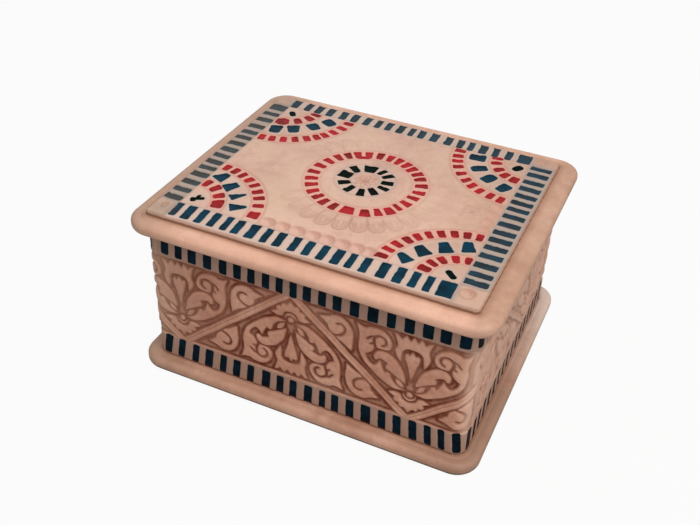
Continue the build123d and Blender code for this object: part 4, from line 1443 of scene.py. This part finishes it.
panel_material, tree, shader, coords = start_material("dyed_tooled_leather", 0.44)
panel_tints = ((0.575, 0.345, 0.255), (0.665, 0.415, 0.315), (0.735, 0.475, 0.37))
across, along, height = axes(tree, coords)
bleeding = add_node(tree, "Attribute", attribute_name="bled")
yellowed = grade(tree, noise(tree, coords, 21.0, 3.0, 0.6), 0.46, 0.60, 0.0, 0.5)
colour = laid_over(
    tree, leather_colour(tree, coords, panel_tints, 24.0),
    (yellowed, (0.70, 0.475, 0.335)),
    (grade(tree, along, -0.034, -0.052, 0.0, 0.30), (0.86, 0.60, 0.49)),  # painted light: lighter towards the front
    (grade(tree, across, 0.036, 0.064, 0.0, 0.22), (0.40, 0.22, 0.115)),  # painted shade: darker towards the right
    (grade(tree, along, 0.0, 0.06, 0.0, 0.14), (0.42, 0.24, 0.15)),  # darkened at the back
    (bleeding.outputs["Alpha"], bleeding.outputs["Color"]),
    (times(tree, painted(tree, "tooled"), 0.55), (0.40, 0.19, 0.13)),  # burnished lines
    (times(tree, painted(tree, "seat_shade_and_cut_edge"), 0.9), (0.25, 0.115, 0.07)),  # the cut edge, with painted shade inside the front and right edges
)
brush = noise(tree, coords, 420.0, 3.0)
uneven = noise(tree, coords, 150.0, 4.0)
sheen = 0.28
inks = (
    ("red", (0.19, 0.010, 0.010), (0.43, 0.016, 0.022), 0.06),
    ("blue", (0.0006, 0.019, 0.034), (0.0010, 0.040, 0.074), 0.045),
    ("black", (0.0006, 0.003, 0.002), (0.0012, 0.008, 0.006), 0.015),
)
for name, deep, thin, shine in inks:
    amount = grade(tree, ragged(tree, painted(tree, name), brush, 0.7), -0.26, -0.02)
    colour = laid_over(tree, colour, (amount, ramp(tree, uneven, ((0.35, deep), (0.62, thin)))))
    sheen = between(tree, amount, sheen, shine)
# painted sheen and shade over the borders
colour = laid_over(tree, colour, (painted(tree, "border_veil_and_shade"), (0.20, 0.15, 0.09)))
lead_into(
    shader, Base_Color=colour, Specular_IOR_Level=sheen, Normal=leather_grain(tree, coords, 1600.0)
)
panel_mesh.materials.append(panel_material)
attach(lid_panel, "lid")
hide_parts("lid_panel")


# ---------------------------------------------------------------- the cotton lining
# Plain dull red cotton over thin card, one panel on the floor, one on each wall, one in the lid.
# The cloth is drawn over each card's edges and the panel is glued in place.
lining_material, tree, shader, coords = start_material(
    "red_cotton", 0.9, Sheen_Weight=0.08, Specular_IOR_Level=0.2
)
warp, weft = (
    add_node(
        tree, "TexWave", {"Vector": coords, "Scale": 560.0, "Distortion": 0.6, "Detail": 1.0},
        wave_type="BANDS", bands_direction=direction,
    ).outputs["Fac"]
    for direction in ("X", "DIAGONAL")
)
weave = times(tree, warp, weft)
reds = ((0.15, (0.11, 0.012, 0.016)), (0.5, (0.20, 0.024, 0.030)), (0.8, (0.29, 0.05, 0.055)))
thread = between(tree, 0.5, weave, noise(tree, coords, 45.0, 4.0))
lead_into(shader, Base_Color=ramp(tree, thread, reds), Normal=bump(tree, weave, 0.10 * mm))
cloth_edge = 0.35
cloth_step = 1.5


def cloth_lines(low, high):
    """Places of a cloth grid's lines between two edges, with close ones where it turns over."""
    count = max(int(round((high - low) / cloth_step)), 2)
    turned = cloth_edge * np.array((0.0, 0.2, 0.55, 1.0))
    inner = np.linspace(low + 1.2, high - 1.2, count)
    return np.concatenate((low + turned, inner, high - turned[::-1]))


def lining_panel(node, body, thin_axis, back):
    """A card covered in cloth, in its solid's box: rounded edges and a slightly uneven face.

    thin_axis is the axis of its thickness, and back is 0 where the low side is glued, else 1."""
    low, high = (np.array(corner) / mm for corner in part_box(node))
    first, second = [axis for axis in range(3) if axis != thin_axis]
    u, v = np.meshgrid(cloth_lines(low[first], high[first]), cloth_lines(low[second], high[second]))
    edge = np.minimum.reduce((u - low[first], high[first] - u, v - low[second], high[second] - v))
    turn_over = np.clip(1 - edge / cloth_edge, 0, 1)
    billow = 1 + np.sin(u / 9 + 1.3 * np.sin(v / 13)) * np.sin(v / 7 + 0.6)
    slack = 0.06 * billow * np.clip(edge / 4, 0, 1)
    drop = cloth_edge * (1 - np.sqrt(1 - turn_over ** 2)) + slack
    surface = np.zeros(u.shape + (3,))
    surface[..., first], surface[..., second] = u, v
    surface[..., thin_axis] = low[thin_axis] + drop if back else high[thin_axis] - drop
    piece = sheet_piece(node, surface, thin_axis, (high if back else low)[thin_axis])
    face_outwards(piece)
    piece.data.materials.append(lining_material)
    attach(piece, body)
    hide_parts(node)


lining_panel("floor_lining", "case", 2, 0)
lining_panel("front_lining", "case", 1, 0)
lining_panel("back_lining", "case", 1, 1)
lining_panel("left_lining", "case", 0, 0)
lining_panel("right_lining", "case", 0, 1)
lining_panel("lid_lining", "lid", 2, 1)


# ---------------------------------------------------------------- the hinges
# Two pressed brass butt hinges: the body's leaf has two knuckles, the lid's the middle one.
# Leaves are let into wall and lid, the pin is riveted over, the screws are slotted brass.
brass, tree, shader, coords = start_material("worn_brass", 0.34, Metallic=1.0)
tarnish = noise(tree, coords, 260.0, 5.0, 0.6)
yellows = ((0.30, (0.30, 0.18, 0.07)), (0.48, (0.62, 0.42, 0.17)), (0.70, (0.74, 0.53, 0.25)))
brushed = noise(tree, stretched(tree, coords, (60, 2500, 2500)), 1.0, 2.0)
lead_into(
    shader, Base_Color=ramp(tree, tarnish, yellows),
    Roughness=ramp(tree, tarnish, ((0.3, (0.55,) * 3), (0.6, (0.28,) * 3))),
    Normal=bump(tree, brushed, 0.02 * mm, 0.5),
)

knuckle_radius = 1.8
knuckle_half = 3.3
finger_start = 3.5
leaf_thickness = 0.8
pocket_half = 2.2
run_overlap = 0.4
screw_y = 64.4
screw_spread = 6.4
screw_head = 1.6
screw_shank = 0.8
wall_top = rim_z - turned_leather


def new_piece(name, work):
    """A new object from a bmesh in mm, with smooth shading except at its edges."""
    piece = object_of(name, work)
    face_outwards(piece, 40)
    return piece


def turned_form(work, profile, place, along, steps=40):
    """A turned form: the profile's (distance along the axis, radius) points spun about an axis."""
    axis = Vector(along).normalized()
    across = axis.orthogonal().normalized()
    aside = axis.cross(across)
    turns = [2 * pi * k / steps for k in range(steps)]
    rings = []
    for distance, radius in profile:
        centre = Vector(place) + axis * distance
        rings.append([
            work.verts.new(centre + radius * (across * cos(turn) + aside * sin(turn)))
            for turn in (turns if radius > 0 else turns[:1])
        ])
    for first, second in zip(rings[:-1], rings[1:]):
        for k in range(steps):
            corners = [ring[n % len(ring)] for ring, n in (
                (first, k), (first, k + 1), (second, k + 1), (second, k)
            )]
            work.faces.new(list(dict.fromkeys(corners)))


def screw_profile(length):
    """A countersunk screw along its axis: a slightly domed head, its cone, shank and point."""
    return (
        (0.05, 0.0), (0.07, 0.9), (0.16, screw_head - 0.12), (0.22, screw_head), (0.86, screw_shank),
        (length - 1.0, screw_shank), (length, 0.0),
    )


def leaf_run(work, foot, start, end, with_knuckle):
    """A stretch of a hinge leaf along X: the flat plate and, if asked, the barrel rolled from it.
    A plain stretch runs on into its neighbours, a hair thinner than they are."""
    near = axis_y - leaf_reach
    top = foot + leaf_thickness
    hair = 0.01
    if with_knuckle:
        first = np.arcsin((top - rim_z) / knuckle_radius)
        last = np.arcsin((foot - rim_z) / knuckle_radius)
        sweep = np.linspace(pi - first, -(pi + last), 25)
        barrel = [(axis_y + knuckle_radius * cos(a), rim_z + knuckle_radius * sin(a)) for a in sweep]
    else:
        start, end, foot, top = start - run_overlap, end + run_overlap, foot + hair, top - hair
        barrel = [(axis_y - pocket_half, top), (axis_y - pocket_half, foot)]
    section = [(near + 0.15, foot), (near, foot + 0.15), (near, top - 0.15), (near + 0.15, top)] + barrel
    ends = [[work.verts.new((x, y, z)) for y, z in section] for x in (start, end)]
    work.faces.new(ends[0])
    work.faces.new(ends[1][::-1])
    for k in range(len(section)):
        n = (k + 1) % len(section)
        work.faces.new((ends[0][k], ends[0][n], ends[1][n], ends[1][k]))


def hinge_leaf(node, body, centre, of_lid):
    """One leaf with its knuckles, its screw holes countersunk to take the screws' heads."""
    foot = rim_z + turned_leather - leaf_thickness if of_lid else wall_top
    work = bmesh.new()
    left, right = centre - hinge_half, centre + hinge_half
    if of_lid:
        low, high = centre - knuckle_half, centre + knuckle_half
        runs = ((left + run_overlap, low, False), (low, high, True), (high, right - run_overlap, False))
    else:
        low, high = centre - finger_start, centre + finger_start
        runs = ((left, low, True), (low, high, False), (high, right, True))
    for start, end, with_knuckle in runs:
        leaf_run(work, foot, start, end, with_knuckle)
    piece = new_piece(node, work)
    cutter = bmesh.new()
    face, down = (foot, 1) if of_lid else (foot + leaf_thickness, -1)
    countersink = (
        (-0.5, 0.0), (-0.5, screw_head), (0.0, screw_head), (0.75, screw_shank), (2.0, screw_shank),
        (2.0, 0.0),
    )
    for side in (-screw_spread, screw_spread):
        turned_form(cutter, countersink, (centre + side, screw_y, face), (0, 0, down), 24)
    cut_away(piece, cutter)
    face_outwards(piece, 40)
    piece.data.materials.append(brass)
    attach(piece, body)
    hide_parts(node)


def hinge_pin(node, centre):
    """The pin: a rod through the knuckles with both ends hammered into low domes."""
    work = bmesh.new()
    dome = ((0.0, 0.0), (0.05, 0.45), (0.16, 0.8), (0.3, 0.9))
    profile = [(-hinge_half + inwards, radius) for inwards, radius in dome]
    profile += [(hinge_half - inwards, radius) for inwards, radius in dome[::-1]]
    turned_form(work, profile, (centre, axis_y, rim_z), (1, 0, 0), 24)
    piece = new_piece(node, work)
    piece.data.materials.append(brass)
    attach(piece, "case")
    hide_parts(node)


def hinge_screws(node, body, face, down, length):
    """Four slotted screws, two to a leaf, each slot turned its own way."""
    slot_size = (4.0, 0.36, 0.8)
    work = bmesh.new()
    slots = bmesh.new()
    for number, centre in enumerate((-hinge_x, hinge_x)):
        for step, side in enumerate((-screw_spread, screw_spread)):
            place = Vector((centre + side, screw_y, face))
            turned_form(work, screw_profile(length), place, (0, 0, down), 32)
            turn = Matrix.Rotation(0.7 + 1.9 * (2 * number + step), 4, "Z")
            slot = Matrix.Translation(place) @ turn @ Matrix.Diagonal((*slot_size, 1))
            bmesh.ops.create_cube(slots, size=1, matrix=slot)
    piece = new_piece(node, work)
    cut_away(piece, slots)
    face_outwards(piece, 40)
    piece.data.materials.append(brass)
    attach(piece, body)
    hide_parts(node)


for side, centre in (("left", -hinge_x), ("right", hinge_x)):
    hinge_leaf(f"{side}_hinge_body_leaf", "case", centre, False)
    hinge_leaf(f"{side}_hinge_lid_leaf", "lid", centre, True)
    hinge_pin(f"{side}_hinge_pin", centre)
hinge_screws("body_hinge_screws", "case", wall_top + leaf_thickness, -1, 9.0)
hinge_screws("lid_hinge_screws", "lid", rim_z + turned_leather - leaf_thickness, 1, 4.4)
